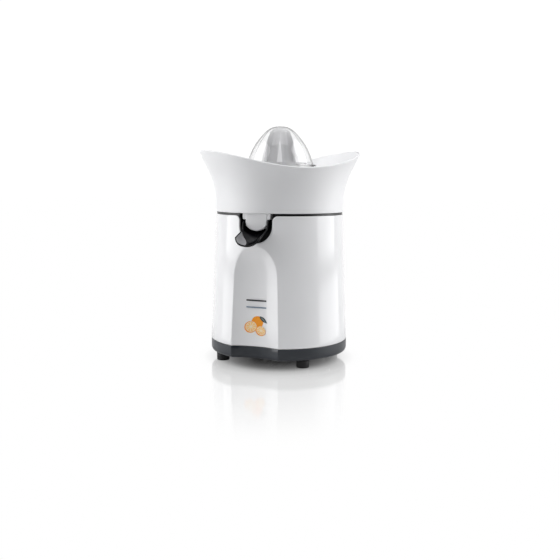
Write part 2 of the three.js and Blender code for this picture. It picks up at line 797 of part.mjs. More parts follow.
function gearboxPlate() {
  const ears = BOSS_ANGLES.map((a) => rod(4.4, PLATE_BOTTOM, PLATE_TOP, around(BOSS_CIRCLE, a)));
  const earHoles = BOSS_ANGLES.map((a) => rod(1.7, 90, 110, around(BOSS_CIRCLE, a)));
  const motorHoles = MOTOR_SCREW_X.map((x) => rod(2.2, 90, 110, [x, MOTOR_AT[1]]));
  return cut(
    joined(rod(PLATE_RADIUS, PLATE_BOTTOM, PLATE_TOP, [0, 0], ROUND), ...ears),
    rod(6.3, 90, 110, [0, 0], 24),
    rod(6, 90, 110, MOTOR_AT),
    rod(2.3, 90, 110, IDLER_AT),
    box([-40, 40], [-70, -PLATE_FRONT_Y], [90, 110]),
    ...earHoles,
    ...motorHoles,
  );
}

function gearboxCover() {
  const bottom = PLATE_TOP + GAP;
  const rounds = [
    [33, [0, 0]],
    [30, IDLER_AT],
    [11, MOTOR_AT],
  ];
  const outside = rounds.map(([radius, at]) => rod(radius, bottom, 124, at, 28));
  const inside = rounds.map(([radius, at]) => rod(radius - 2, bottom - 1, 122, at, 28));
  return cut(joined(...outside), ...inside, rod(8.4, 120, 126, [0, 0], 24));
}

function lowerBushing() {
  return turned(
    [
      [SHAFT_PIN_RADIUS + GAP, 95],
      [6, 95],
      [6, PLATE_TOP + GAP],
      [7.3, PLATE_TOP + GAP],
      [7.3, 102.5],
      [SHAFT_PIN_RADIUS + GAP, 102.5],
    ],
    24,
  );
}

function idlerPin() {
  return joined(rod(2, 96, 121, IDLER_AT), rod(3.6, 95.4, PLATE_BOTTOM - GAP, IDLER_AT));
}

// ---------------------------------------------------------------- motor

function motorStator() {
  const [x, y] = MOTOR_AT;
  const frame = box([x - 26, x + 26], [y - 20, 50], STATOR_Z);
  const window = box([x - 14.5, x + 14.5], [30, 40], [40, 80]);
  const holes = MOTOR_SCREW_X.map((sx) => rod(2.2, 40, 80, [sx, y]));
  return cut(frame, rod(STATOR_BORE, 40, 80, MOTOR_AT, 24), window, ...holes);
}

function motorCoil() {
  const x = MOTOR_AT[0];
  return cut(
    box([x - 13.5, x + 13.5], [30.4, 58], [40, 80]),
    box([x - 14, x + 14], [39.6, 50.4], [STATOR_Z[0] - 0.4, STATOR_Z[1] + 0.4]),
  );
}

function motorRotor() {
  return joined(
    rod(ROTOR_RADIUS, STATOR_Z[0] + 0.8, STATOR_Z[1] - 0.8, MOTOR_AT, 24),
    rod(MOTOR_SHAFT, 39, 112, MOTOR_AT),
  );
}

function motorBracket(from, to, bossFrom, bossTo) {
  const [x, y] = MOTOR_AT;
  const holes = MOTOR_SCREW_X.map((sx) => rod(2.2, 30, 90, [sx, y]));
  return cut(
    joined(box([x - 26, x + 26], [y - 8, y + 8], [from, to]), rod(6.5, bossFrom, bossTo, MOTOR_AT, 20)),
    rod(MOTOR_SHAFT + GAP, 30, 90, MOTOR_AT),
    ...holes,
  );
}

function spacer(x) {
  const at = [x, MOTOR_AT[1]];
  return cut(rod(4.4, STATOR_Z[1] + 3.6, PLATE_BOTTOM - GAP, at), rod(2.2, 60, 110, at));
}

// ---------------------------------------------------------------- assembly
add("base_pan", basePan(), darkBase);
FOOT_ANGLES.forEach((angle, i) => add(`foot_${i + 1}`, foot(angle), rubber));
add("body_shell", bodyShell(), whiteGloss);
add("spout_liner", spoutLiner(), blackSatin);
add("top_deck", topDeck(), blackSatin);
add("upper_bushing", ring(SHAFT_RADIUS + GAP, 6.3, 168, 184), nylon);
add("shaft_seal", ring(SHAFT_RADIUS + GAP, COLLAR_RADIUS, COLLAR_TOP + GAP, 189), rubber);
add("cord_grommet", cordGrommet(), blackSatin);
add("cord_clamp", cordClamp(), nylon);
BOSS_ANGLES.forEach((angle, i) => {
  const at = around(BOSS_CIRCLE, angle);
  add(`base_screw_${i + 1}`, screw(at, 6.9, BASE_BOTTOM - GAP, 32), steel);
  add(`gearbox_screw_${i + 1}`, screw(at, PLATE_TOP + GAP, PLATE_TOP + 2.4, 88), steel);
});

add("gearbox_plate", gearboxPlate(), lamination);
add("gearbox_cover", gearboxCover(), nylon);
add("lower_bushing", lowerBushing(), steel);
add("idler_pin", idlerPin(), steel);
add("idler_gear", idlerGear(), nylon);
add("output_gear", outputGear(), nylon);
add("gear_clip", ring(8 + GAP, 10.6, 124.3, 125.6), steel);
add("motor_pinion", motorPinion(), steel);
add("motor_rotor", motorRotor(), lamination);
add("motor_stator", motorStator(), lamination);
add("motor_coil", motorCoil(), copper);
add("motor_bracket_upper", motorBracket(STATOR_Z[1] + GAP, STATOR_Z[1] + 3.3, 75, 80), steel);
add("motor_bracket_lower", motorBracket(STATOR_Z[0] - 3.3, STATOR_Z[0] - GAP, 41, 45), steel);
MOTOR_SCREW_X.forEach((x, i) => {
  add(`motor_spacer_${i + 1}`, spacer(x), steel);
  add(`motor_screw_${i + 1}`, screw([x, MOTOR_AT[1]], 41.8, 44.4, 103.4, 3.8, 1.9), steel);
});

add("drive_shaft", driveShaft(), steel);
add("thrust_collar", thrustCollar(), nylon);
add("press_spring", pressSpring(), steel);
add("micro_switch", microSwitch(), blackSatin);
add("switch_plunger", box([-1.2, 1.2], [-26, -23.5], [105.4, 109.8]), nylon);

add("bowl", bowl(), whiteSatin);
add("spout_lever", spoutLever(), blackGloss);
add("strainer", strainer(), whiteSatin);
add("small_cone", smallCone(), greyPlastic);
add("large_cone", largeCone(), clearPlastic);

const assembly = new THREE.Group();
assembly.add(press);

export default assembly;
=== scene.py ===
import json
import math

import bmesh
import bpy
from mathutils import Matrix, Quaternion, Vector
from mathutils.geometry import delaunay_2d_cdt


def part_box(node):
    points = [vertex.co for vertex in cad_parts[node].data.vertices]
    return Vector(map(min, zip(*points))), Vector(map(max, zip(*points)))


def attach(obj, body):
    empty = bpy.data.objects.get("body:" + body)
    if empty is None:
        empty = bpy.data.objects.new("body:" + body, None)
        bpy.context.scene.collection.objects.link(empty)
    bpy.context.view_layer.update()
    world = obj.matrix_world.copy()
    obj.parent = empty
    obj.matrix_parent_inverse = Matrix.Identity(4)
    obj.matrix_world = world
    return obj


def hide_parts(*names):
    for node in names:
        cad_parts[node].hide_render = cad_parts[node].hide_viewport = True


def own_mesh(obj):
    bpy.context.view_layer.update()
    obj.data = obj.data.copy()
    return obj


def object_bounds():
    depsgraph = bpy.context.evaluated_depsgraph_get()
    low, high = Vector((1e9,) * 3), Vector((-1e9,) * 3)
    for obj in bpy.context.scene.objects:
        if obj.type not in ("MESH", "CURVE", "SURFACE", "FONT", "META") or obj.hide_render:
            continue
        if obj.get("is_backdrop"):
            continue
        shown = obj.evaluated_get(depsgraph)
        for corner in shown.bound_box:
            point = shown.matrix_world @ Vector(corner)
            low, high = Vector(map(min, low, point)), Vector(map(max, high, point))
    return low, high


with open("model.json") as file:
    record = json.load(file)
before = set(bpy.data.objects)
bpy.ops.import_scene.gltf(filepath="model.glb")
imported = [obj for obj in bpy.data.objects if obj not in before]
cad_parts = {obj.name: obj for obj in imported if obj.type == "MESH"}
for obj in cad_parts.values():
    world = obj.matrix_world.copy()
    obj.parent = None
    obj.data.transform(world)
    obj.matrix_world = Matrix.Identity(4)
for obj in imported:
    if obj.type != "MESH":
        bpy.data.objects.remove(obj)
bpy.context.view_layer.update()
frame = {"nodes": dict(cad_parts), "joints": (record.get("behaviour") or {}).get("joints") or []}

# Shapes are drawn in millimetres about the drive axis, with the spout towards -Y, and placed in the frame
# in metres. Angles about the axis are measured from the spout towards +X.
MM = 0.001
JOINTS = {joint["name"]: joint for joint in frame["joints"]}
AXIS = Vector(JOINTS["cone_spin"]["pos_m"]).xy
FINE = 5  # steps in the arc of a rounded edge
ROUND = 192  # segments around a large piece


def place(x, y, z):
    return Vector((AXIS.x + x * MM, AXIS.y + y * MM, z * MM))


def around(radius, turn):
    return radius * math.sin(turn), -radius * math.cos(turn)


def height_of(node, end):
    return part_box(node)[end].z / MM


def middle_height_of(node):
    return (height_of(node, 0) + height_of(node, 1)) / 2


def middle_of(node):
    """The (x, y) of a node's middle, about the drive axis."""
    low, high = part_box(node)
    return ((low + high) / 2 - AXIS.to_3d()).xy / MM


# ---------------------------------------------------------------- mesh tools
def placed(name, data):
    thing = bpy.data.objects.new(name, data)
    bpy.context.scene.collection.objects.link(thing)
    return thing


def object_of(name, bm):
    mesh = bpy.data.meshes.new(name)
    bm.to_mesh(mesh)
    bm.free()
    return placed(name, mesh)


def finished(name, bm, sharp_deg=32):
    """An object from a bmesh: smooth faces, and edges sharper than sharp_deg left crisp."""
    bmesh.ops.remove_doubles(bm, verts=bm.verts, dist=1e-7)
    bmesh.ops.recalc_face_normals(bm, faces=bm.faces)
    piece = object_of(name, bm)
    crisp(piece, sharp_deg)
    return piece


def bridge(bm, ring, other):
    """Faces between two rings of corners. A ring of one corner makes a fan."""
    count = max(len(ring), len(other))
    if count == 1:
        return
    for k in range(count):
        n = (k + 1) % count
        corners = (ring[k % len(ring)], ring[n % len(ring)], other[n % len(other)], other[k % len(other)])
        bm.faces.new(list(dict.fromkeys(corners)))


def tube(bm, rings):
    """Rings of corners joined one to the next, and closed at both ends."""
    for ring, other in zip(rings, rings[1:]):
        bridge(bm, ring, other)
    bm.faces.new(rings[0])
    bm.faces.new(rings[-1])


def crisp(piece, sharp_deg=32):
    bm = bmesh.new()
    bm.from_mesh(piece.data)
    for face in bm.faces:
        face.smooth = True
    limit = math.radians(sharp_deg)
    for edge in bm.edges:
        edge.smooth = len(edge.link_faces) == 2 and edge.calc_face_angle(0) < limit
    bm.to_mesh(piece.data)
    bm.free()


def rounded(corners, steps=FINE):
    """A closed outline in which a corner (a, b, radius) becomes an arc."""
    outline = []
    for i, corner in enumerate(corners):
        here = Vector(corner[:2])
        if len(corner) < 3:
            outline.append(tuple(here))
            continue
        before = (Vector(corners[i - 1][:2]) - here).normalized()
        after = (Vector(corners[(i + 1) % len(corners)][:2]) - here).normalized()
        half = before.angle(after) / 2
        reach = corner[2] / math.tan(half)
        centre = here + (before + after).normalized() * (corner[2] / math.sin(half))
        start = here + before * reach - centre
        sweep = start.angle_signed(here + after * reach - centre)
        for k in range(steps + 1):
            outline.append(tuple(centre + Vector(rotated(start, -sweep * k / steps))))
    return outline


def lathe(name, outline, segments=ROUND, reshape=None, centre=(0, 0), sharp_deg=32):
    """A closed outline of (radius, height) turned about a vertical axis."""
    bm = bmesh.new()
    rings = []
    for radius, z in outline:
        ring = []
        for k in range(segments if radius > 1e-6 else 1):
            turn = 2 * math.pi * k / segments
            r, height = reshape(radius, z, turn) if reshape else (radius, z)
            x, y = around(r, turn)
            ring.append(bm.verts.new(place(centre[0] + x, centre[1] + y, height)))
        rings.append(ring)
    for ring, other in zip(rings, rings[1:] + rings[:1]):
        bridge(bm, ring, other)
    return finished(name, bm, sharp_deg)


def inset(outline, distance):
    """The closed outline, counter-clockwise, moved inwards by distance."""
    moved = []
    for i, (a, b) in enumerate(outline):
        here = Vector((a, b))
        back = (here - Vector(outline[i - 1])).normalized()
        on = (Vector(outline[(i + 1) % len(outline)]) - here).normalized()
        normal = (Vector((-back.y, back.x)) + Vector((-on.y, on.x))).normalized()
        spread = max(0.35, normal.dot(Vector((-on.y, on.x))))
        moved.append(tuple(here + normal * (distance / spread)))
    return moved


def slab(name, outline, along, start, end, edges=(0, 0), sharp_deg=32):
    """A closed outline pushed along an axis, with its edges at the start and the end rounded.
    It is drawn in (y, z) for "x", (x, z) for "y" and (x, y) for "z"."""
    to_space = {
        "x": lambda a, b, c: place(c, a, b),
        "y": lambda a, b, c: place(a, c, b),
        "z": lambda a, b, c: place(a, b, c),
    }[along]
    area = sum(a[0] * b[1] - b[0] * a[1] for a, b in zip(outline, outline[1:] + outline[:1]))
    if area < 0:
        outline = outline[::-1]
    levels = []
    for radius, at, inwards in ((edges[0], start, 1), (edges[1], end, -1)):
        steps = FINE if radius else 0
        edge = []
        for k in range(steps + 1):
            turn = math.pi / 2 * k / max(steps, 1)
            edge.append((radius * (1 - math.sin(turn)), at + inwards * radius * (1 - math.cos(turn))))
        levels.append(edge)
    bm = bmesh.new()
    rings = []
    for sunk, at in levels[0] + levels[1][::-1]:
        ring = inset(outline, sunk) if sunk > 1e-9 else outline
        rings.append([bm.verts.new(to_space(a, b, at)) for a, b in ring])
    tube(bm, rings)
    return finished(name, bm, sharp_deg)


def block(xs, ys, zs):
    return slab("tool", [(xs[0], ys[0]), (xs[1], ys[0]), (xs[1], ys[1]), (xs[0], ys[1])], "z", *zs)


def rotated(point, turn):
    a, b = point
    return a * math.cos(turn) - b * math.sin(turn), a * math.sin(turn) + b * math.cos(turn)


def arc(centre, radius, start_deg, end_deg, steps):
    turns = [math.radians(start_deg + (end_deg - start_deg) * k / steps) for k in range(steps + 1)]
    return [(centre[0] + radius * math.cos(t), centre[1] + radius * math.sin(t)) for t in turns]


def disc(radius, at, start, end, along="z", steps=32, edges=(0, 0)):
    return slab("tool", arc(at, radius, 0, 360 - 360 / steps, steps - 1), along, start, end, edges)


def carved(piece, tools, operation="DIFFERENCE", sharp_deg=32):
    """The piece with each tool cut away, or joined on, and the tools removed."""
    for tool in tools:
        step = piece.modifiers.new("step", "BOOLEAN")
        step.operation = operation
        step.solver = "MANIFOLD"
        step.object = tool
    piece.data = evaluated_mesh(piece)
    piece.modifiers.clear()
    for tool in tools:
        bpy.data.objects.remove(tool)
    crisp(piece, sharp_deg)
    return piece


def evaluated_mesh(piece):
    graph = bpy.context.evaluated_depsgraph_get()
    return bpy.data.meshes.new_from_object(piece.evaluated_get(graph))


def edge_fall(distance, radius):
    """How far a rounded edge has dropped below its surface, this far in from the edge."""
    if distance >= radius:
        return 0
    return radius - math.sqrt(max(0, radius**2 - (radius - max(distance, 0)) ** 2))


def edge_steps(radius, steps=FINE):
    return [radius * (1 - math.cos(math.pi / 2 * k / steps)) for k in range(steps + 1)]


def filled(boundary, chains, inner):
    """Triangles that fill a boundary polygon, with the given chains and single points as corners."""
    points = [Vector(p) for p in boundary]
    edges = []
    for chain in chains:
        first = len(points)
        points += [Vector(p) for p in chain]
        edges += [(first + k, first + k + 1) for k in range(len(chain) - 1)]
    points += [Vector(p) for p in inner]
    made = delaunay_2d_cdt(points, edges, [list(range(len(boundary)))], 1, 1e-5)
    return [tuple(v) for v in made[0]], [tuple(f) for f in made[2]]


def skinned(name, points, faces, outer, inner, sharp_deg=32):
    """A closed wall: the flat mesh is mapped to an outer and an inner surface, joined round its edges."""
    bm = bmesh.new()
    top = [bm.verts.new(outer(p)) for p in points]
    bottom = [bm.verts.new(inner(p)) for p in points]
    count = {}
    for face in faces:
        bm.faces.new([top[i] for i in face])
        bm.faces.new([bottom[i] for i in reversed(face)])
        for a, b in zip(face, face[1:] + face[:1]):
            key = (min(a, b), max(a, b))
            count[key] = count.get(key, 0) + 1
    for (a, b), uses in count.items():
        if uses == 1:
            bm.faces.new((top[a], top[b], bottom[b], bottom[a]))
    return finished(name, bm, sharp_deg)


# ---------------------------------------------------------------- materials
def nodes_of(name):
    material = bpy.data.materials.new(name)
    material.use_nodes = True
    tree = material.node_tree
    return material, tree, tree.nodes["Principled BSDF"]


def scaled_place(tree, scale):
    """Position in the piece's own space, stretched by scale."""
    coordinates = tree.nodes.new("ShaderNodeTexCoord")
    mapping = tree.nodes.new("ShaderNodeMapping")
    mapping.inputs["Scale"].default_value = scale
    tree.links.new(coordinates.outputs["Object"], mapping.inputs["Vector"])
    return mapping.outputs["Vector"]


def noise(tree, scale, detail=3, stretch=(1, 1, 1)):
    texture = tree.nodes.new("ShaderNodeTexNoise")
    texture.inputs["Scale"].default_value = scale
    texture.inputs["Detail"].default_value = detail
    tree.links.new(scaled_place(tree, stretch), texture.inputs["Vector"])
    return texture.outputs["Fac"]


def stepped(tree, value, stops):
    """The colour or grey for a value, from (value, colour or grey) pairs."""
    node = tree.nodes.new("ShaderNodeValToRGB")
    while len(node.color_ramp.elements) < len(stops):
        node.color_ramp.elements.new(0.5)
    for element, (at, colour) in zip(node.color_ramp.elements, stops):
        element.position = at
        element.color = (*colour, 1) if hasattr(colour, "__len__") else (colour, colour, colour, 1)
    tree.links.new(value, node.inputs["Fac"])
    return node.outputs["Color"]


def ramp(tree, value, low, high, start=0.3, end=0.7):
    return stepped(tree, value, [(start, low), (end, high)])


def bumped(tree, shader, value, strength, distance):
    node = tree.nodes.new("ShaderNodeBump")
    node.inputs["Strength"].default_value = strength
    node.inputs["Distance"].default_value = distance
    tree.links.new(value, node.inputs["Height"])
    tree.links.new(node.outputs["Normal"], shader.inputs["Normal"])


def shade(colour, factor):
    return tuple(min(1, c * factor) for c in colour)


SOCKETS = {"ior": "IOR", "specular": "Specular IOR Level", "sheen": "Sheen Weight"}


def moulded(name, colour, roughness, grain=0.15, grain_scale=2200, swing=0.02, **constants):
    """Moulded plastic: faint colour drift, uneven gloss and a fine surface grain."""
    material, tree, shader = nodes_of(name)
    drift = ramp(tree, noise(tree, 14, 2), shade(colour, 1 - swing), shade(colour, 1 + swing))
    tree.links.new(drift, shader.inputs["Base Color"])
    uneven = ramp(tree, noise(tree, 90, 4), roughness * 0.88, roughness * 1.12)
    tree.links.new(uneven, shader.inputs["Roughness"])
    for socket, value in constants.items():
        shader.inputs[SOCKETS[socket]].default_value = value
    bumped(tree, shader, noise(tree, grain_scale, 2), grain, 0.00002)
    return material


def metal(name, colour, roughness, stretch=(1, 1, 30), grain_scale=60):
    """Machined metal with fine tool marks."""
    material, tree, shader = nodes_of(name)
    marks = noise(tree, grain_scale, 4, stretch)
    tree.links.new(ramp(tree, marks, shade(colour, 0.86), shade(colour, 1.1)), shader.inputs["Base Color"])
    tree.links.new(ramp(tree, marks, roughness * 0.7, roughness * 1.3), shader.inputs["Roughness"])
    shader.inputs["Metallic"].default_value = 1
    bumped(tree, shader, marks, 0.15, 0.0001)
    return material


def banded(name, colour, dark, pitch, axis, metallic, roughness):
    """Stacked sheets or wound wire: narrow bands along one axis."""
    material, tree, shader = nodes_of(name)
    wave = tree.nodes.new("ShaderNodeTexWave")
    wave.bands_direction = axis
    wave.inputs["Scale"].default_value = 0.314 / pitch
    wave.inputs["Distortion"].default_value = 0.4
    tree.links.new(scaled_place(tree, (1, 1, 1)), wave.inputs["Vector"])
    tree.links.new(ramp(tree, wave.outputs["Fac"], dark, colour, 0.1, 0.6), shader.inputs["Base Color"])
    tree.links.new(ramp(tree, noise(tree, 300), roughness * 0.8, roughness * 1.2), shader.inputs["Roughness"])
    shader.inputs["Metallic"].default_value = metallic
    bumped(tree, shader, wave.outputs["Fac"], 0.5, 0.0002)
    return material


def clear(name):
    """Clear moulded plastic with very faint flow marks."""
    material, tree, shader = nodes_of(name)
    shader.inputs["Transmission Weight"].default_value = 1
    shader.inputs["IOR"].default_value = 1.47
    tint = ramp(tree, noise(tree, 30), (0.955, 0.955, 0.96), (0.97, 0.97, 0.97))
    tree.links.new(tint, shader.inputs["Base Color"])
    tree.links.new(ramp(tree, noise(tree, 60), 0.0, 0.03), shader.inputs["Roughness"])
    bumped(tree, shader, noise(tree, 120, 2), 0.02, 0.0001)
    return material


def peel(name, colour, light):
    """Printed orange skin with fine pores."""
    material, tree, shader = nodes_of(name)
    pores = tree.nodes.new("ShaderNodeTexVoronoi")
    pores.inputs["Scale"].default_value = 1500
    tree.links.new(scaled_place(tree, (1, 1, 1)), pores.inputs["Vector"])
    tint = ramp(tree, pores.outputs["Distance"], light, colour, 0.1, 0.5)
    tree.links.new(tint, shader.inputs["Base Color"])
    shader.inputs["Roughness"].default_value = 0.3
    return material


white_gloss = moulded("white_gloss_plastic", (0.83, 0.83, 0.84), 0.1, 0.05)
white_satin = moulded("white_satin_plastic", (0.82, 0.82, 0.83), 0.42, 0.25)
dark_base = moulded("dark_base_plastic", (0.009, 0.013, 0.020), 0.34, 0.04, swing=0.05, ior=1.55, sheen=0.12)
black_gloss = moulded(
    "black_gloss_plastic", (0.003, 0.003, 0.004), 0.16, 0.05, swing=0.1, ior=1.38, specular=0.3
)
black_satin = moulded("black_satin_plastic", (0.005, 0.005, 0.006), 0.35, 0.25, swing=0.1)
grey_plastic = moulded("grey_satin_plastic", (0.38, 0.38, 0.39), 0.3, 0.1)
# A paler copy of the cone's grey, painting the highlight that the ribs catch.
fin_highlight_plastic = moulded("painted_fin_highlight", (0.64, 0.64, 0.65), 0.3, 0.1)
# Grey that paints a reflection of the bright surroundings inside the spout's black trough.
painted_reflection_plastic = moulded("grey_painted_reflection_plastic", (0.30, 0.30, 0.31), 0.35, 0.1)
clear_plastic = clear("clear_polished_plastic")
rubber = moulded("black_rubber", (0.006, 0.006, 0.007), 0.6, 0.6, 900, swing=0.15)
nylon = moulded("natural_nylon", (0.66, 0.62, 0.52), 0.45, 0.3, 1200)
steel = metal("turned_steel", (0.56, 0.57, 0.58), 0.28)
zinc = metal("zinc_plated_sheet", (0.46, 0.47, 0.49), 0.38, (8, 1, 1), 40)
laminations = banded("steel_laminations", (0.30, 0.31, 0.33), (0.08, 0.08, 0.09), 0.0007, "Z", 1, 0.45)
winding = banded("enamelled_copper_wire", (0.52, 0.19, 0.07), (0.13, 0.04, 0.02), 0.0009, "Z", 1, 0.35)
print_orange = peel("printed_orange_peel", (0.90, 0.30, 0.01), (0.95, 0.45, 0.06))
print_flesh = peel("printed_orange_flesh", (0.93, 0.55, 0.18), (0.95, 0.70, 0.40))
print_pith = moulded("printed_pale_pith", (0.90, 0.80, 0.62), 0.3)
print_leaf = moulded("printed_dark_leaf", (0.030, 0.055, 0.060), 0.3, swing=0.15)
print_vein = moulded("printed_light_vein", (0.40, 0.46, 0.45), 0.3)
print_dark = moulded("printed_dark_line", (0.03, 0.03, 0.035), 0.3, swing=0.1)
print_blue = moulded("printed_slate_line", (0.22, 0.29, 0.38), 0.3, swing=0.1)


def dressed(piece, material, body, replaces=()):
    piece.data.materials.clear()
    piece.data.materials.append(material)
    for polygon in piece.data.polygons:
        polygon.material_index = 0
    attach(piece, body)
    if replaces:
        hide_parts(*replaces)
    return piece


# ---------------------------------------------------------------- housing shape
BASE_TOP = height_of("base_pan", 1)
SHELL_BOTTOM, SHELL_TOP = height_of("body_shell", 0), height_of("body_shell", 1)
RADIUS_BOTTOM, RADIUS_TOP = 77.5, 72
SHELL_WALL = 2.5
BOTTOM_EDGE, TOP_EDGE = 0.9, 0.5
PANEL_HALF, PANEL_EDGE_Y, PANEL_HOLLOW, PANEL_LEAN = 27.5, 72.4, 75, 0.0165
PANEL_BEND_Z, PANEL_ARC = 98, 76
CREASE = 0.55  # how softly the panel meets the round housing
FRONT_HALF = 33  # the front sector, drawn in x rather than by angle
PATCH_BOTTOM = 118
NOTCH_HALF, NOTCH_CENTRE_Z, NOTCH_FILLET = 18.8, 153.1, 5.5


def shell_radius(z):
    share = min(max((z - SHELL_BOTTOM - 0.9) / (SHELL_TOP - SHELL_BOTTOM - 1.6), 0), 1)
    return RADIUS_BOTTOM + (RADIUS_TOP - RADIUS_BOTTOM) * share


def panel_depth(x, z):
    hollow = math.sqrt(PANEL_HOLLOW**2 - x**2) - math.sqrt(PANEL_HOLLOW**2 - PANEL_HALF**2)
    rise = max(z - PANEL_BEND_Z, 0)
    forward = PANEL_ARC - math.sqrt(PANEL_ARC**2 - rise**2)
    return PANEL_EDGE_Y - PANEL_LEAN * (z - BASE_TOP) + forward - hollow


def soft_least(a, b, softness):
    blend = max(softness - abs(a - b), 0) / softness
    return min(a, b) - blend**2 * softness / 4


def front_depth(x, z, radius):
    return soft_least(math.sqrt(radius**2 - x**2), panel_depth(x, z), CREASE)


def front_columns():
    """x of each column of the front sector, closest together near the panel's edges."""
    half = [0.9 * k for k in range(24)] + [21.4 + 0.4 * k for k in range(20)] + [29.6, 30.7, 31.8, FRONT_HALF]
    return [-x for x in reversed(half[1:])] + half


def front_point(x, z, radius, sunk, turned=1):
    """A point of the front sector sunk inwards, towards the axis or, with turned at 0, straight back."""
    y = front_depth(x, z, radius)
    turn = math.atan2(x, y) * turned
    return place(x - sunk * math.sin(turn), -y + sunk * math.cos(turn), z)


def shell_point(domain, sunk):
    """A point of the shell's surface, sunk inwards. The domain is (x, z) in front and (share, z) behind."""
    kind, a, z = domain
    radius = shell_radius(z)
    if kind == "front":
        beside = min(max((abs(a) - NOTCH_HALF) / (FRONT_HALF - NOTCH_HALF), 0), 1)
        return front_point(a, z, radius, sunk, beside if z > PATCH_BOTTOM else 1)
    edge = math.asin(FRONT_HALF / radius)
    turn = edge + (2 * math.pi - 2 * edge) * a
    x, y = around(radius - sunk, turn)
    return place(x, y, z)


def notch_distance(x, z):
    """How far a point of the shell is from its top edge, which runs down round the notch."""
    x = abs(x)
    corner_x, corner_z = NOTCH_HALF + NOTCH_FILLET, SHELL_TOP - NOTCH_FILLET
    if x < corner_x and z > corner_z:
        return NOTCH_FILLET - math.hypot(x - corner_x, z - corner_z)
    if x < corner_x and z > NOTCH_CENTRE_Z:
        return x - NOTCH_HALF
    if x < corner_x:
        return math.hypot(x, z - NOTCH_CENTRE_Z) - NOTCH_HALF
    return SHELL_TOP - z


def notch_chain(distance):
    """The top edge of the front sector moved into the shell, from -x to +x."""
    corner = (NOTCH_HALF + NOTCH_FILLET, SHELL_TOP - NOTCH_FILLET)
    level = [(x, SHELL_TOP - distance) for x in (FRONT_HALF, 31.6, 30.2, 28.8, 27.4, 26.0)]
    fillet = arc(corner, NOTCH_FILLET - distance, 90, 180, 12)
    side = [(NOTCH_HALF + distance, corner[1] + (NOTCH_CENTRE_Z - corner[1]) * k / 5) for k in range(1, 5)]
    bottom = arc((0, NOTCH_CENTRE_Z), NOTCH_HALF + distance, 0, -90, 40)
    right = level + fillet + side + bottom
    return [(-x, z) for x, z in right] + right[-2::-1]


def body_shell():
    columns = front_columns()
    bottom_rows = [SHELL_BOTTOM + d for d in edge_steps(BOTTOM_EDGE)]
    lower = bottom_rows + [26 + 3 * k for k in range(24)] + [97 + 1.05 * k for k in range(20)]
    upper = [PATCH_BOTTOM + 1.2 * k for k in range(1, 38)]
    top_rows = [SHELL_TOP - d for d in reversed(edge_steps(TOP_EDGE))]
    rows = lower + [PATCH_BOTTOM] + upper + top_rows
    points, index, faces = [], {}, []

    def corner(domain):
        key = (domain[0], round(domain[1], 4), round(domain[2], 4))
        if key not in index:
            index[key] = len(points)
            points.append(domain)
        return index[key]

    low_rows = lower + [PATCH_BOTTOM]
    for z, above in zip(low_rows, low_rows[1:]):
        for x, beside in zip(columns, columns[1:]):
            ends = ((x, z), (beside, z), (beside, above), (x, above))
            faces.append(tuple(corner(("front", a, b)) for a, b in ends))
    behind = 110
    for z, above in zip(rows, rows[1:]):
        for k in range(behind):
            face = []
            for step, at in ((k, z), (k + 1, z), (k + 1, above), (k, above)):
                if step in (0, behind):
                    face.append(corner(("front", FRONT_HALF if step == 0 else -FRONT_HALF, at)))
                else:
                    face.append(corner(("back", step / behind, at)))
            faces.append(tuple(face))
    sides = [z for z in rows if z >= PATCH_BOTTOM]
    chains = [notch_chain(d) for d in edge_steps(TOP_EDGE)]
    boundary = (
        [(x, PATCH_BOTTOM) for x in columns]
        + [(FRONT_HALF, z) for z in sides[1:-1]]
        + chains[0][::-1]
        + [(-FRONT_HALF, z) for z in sides[-2:0:-1]]
    )
    inner = [(x, z) for z in upper for x in columns[1:-1] if notch_distance(x, z) > TOP_EDGE + 0.5]
    patch, triangles = filled(boundary, [c[1:-1] for c in chains[1:]], inner)
    to_shell = [corner(("front", x, z)) for x, z in patch]
    faces += [tuple(to_shell[i] for i in face) for face in triangles]

    def fall(domain):
        top = notch_distance(domain[1], domain[2]) if domain[0] == "front" else SHELL_TOP - domain[2]
        return edge_fall(top, TOP_EDGE) + edge_fall(domain[2] - SHELL_BOTTOM, BOTTOM_EDGE)

    piece = skinned(
        "body_shell_skin",
        points,
        faces,
        lambda p: shell_point(p, fall(p)),
        lambda p: shell_point(p, SHELL_WALL),
        40,
    )
    cord_hole = disc(6, (0, middle_height_of("cord_grommet")), 60, 90, "y", 48)
    return carved(piece, [cord_hole], sharp_deg=40)


dressed(body_shell(), white_gloss, "housing", ["body_shell"])


# ---------------------------------------------------------------- base, feet and cord inlet
BASE_BOTTOM = height_of("base_pan", 0)
BASE_WALL, BASE_FLOOR = 2.6, 3
BASE_EDGE_IN, BASE_EDGE_UP = 2.6, 4.2


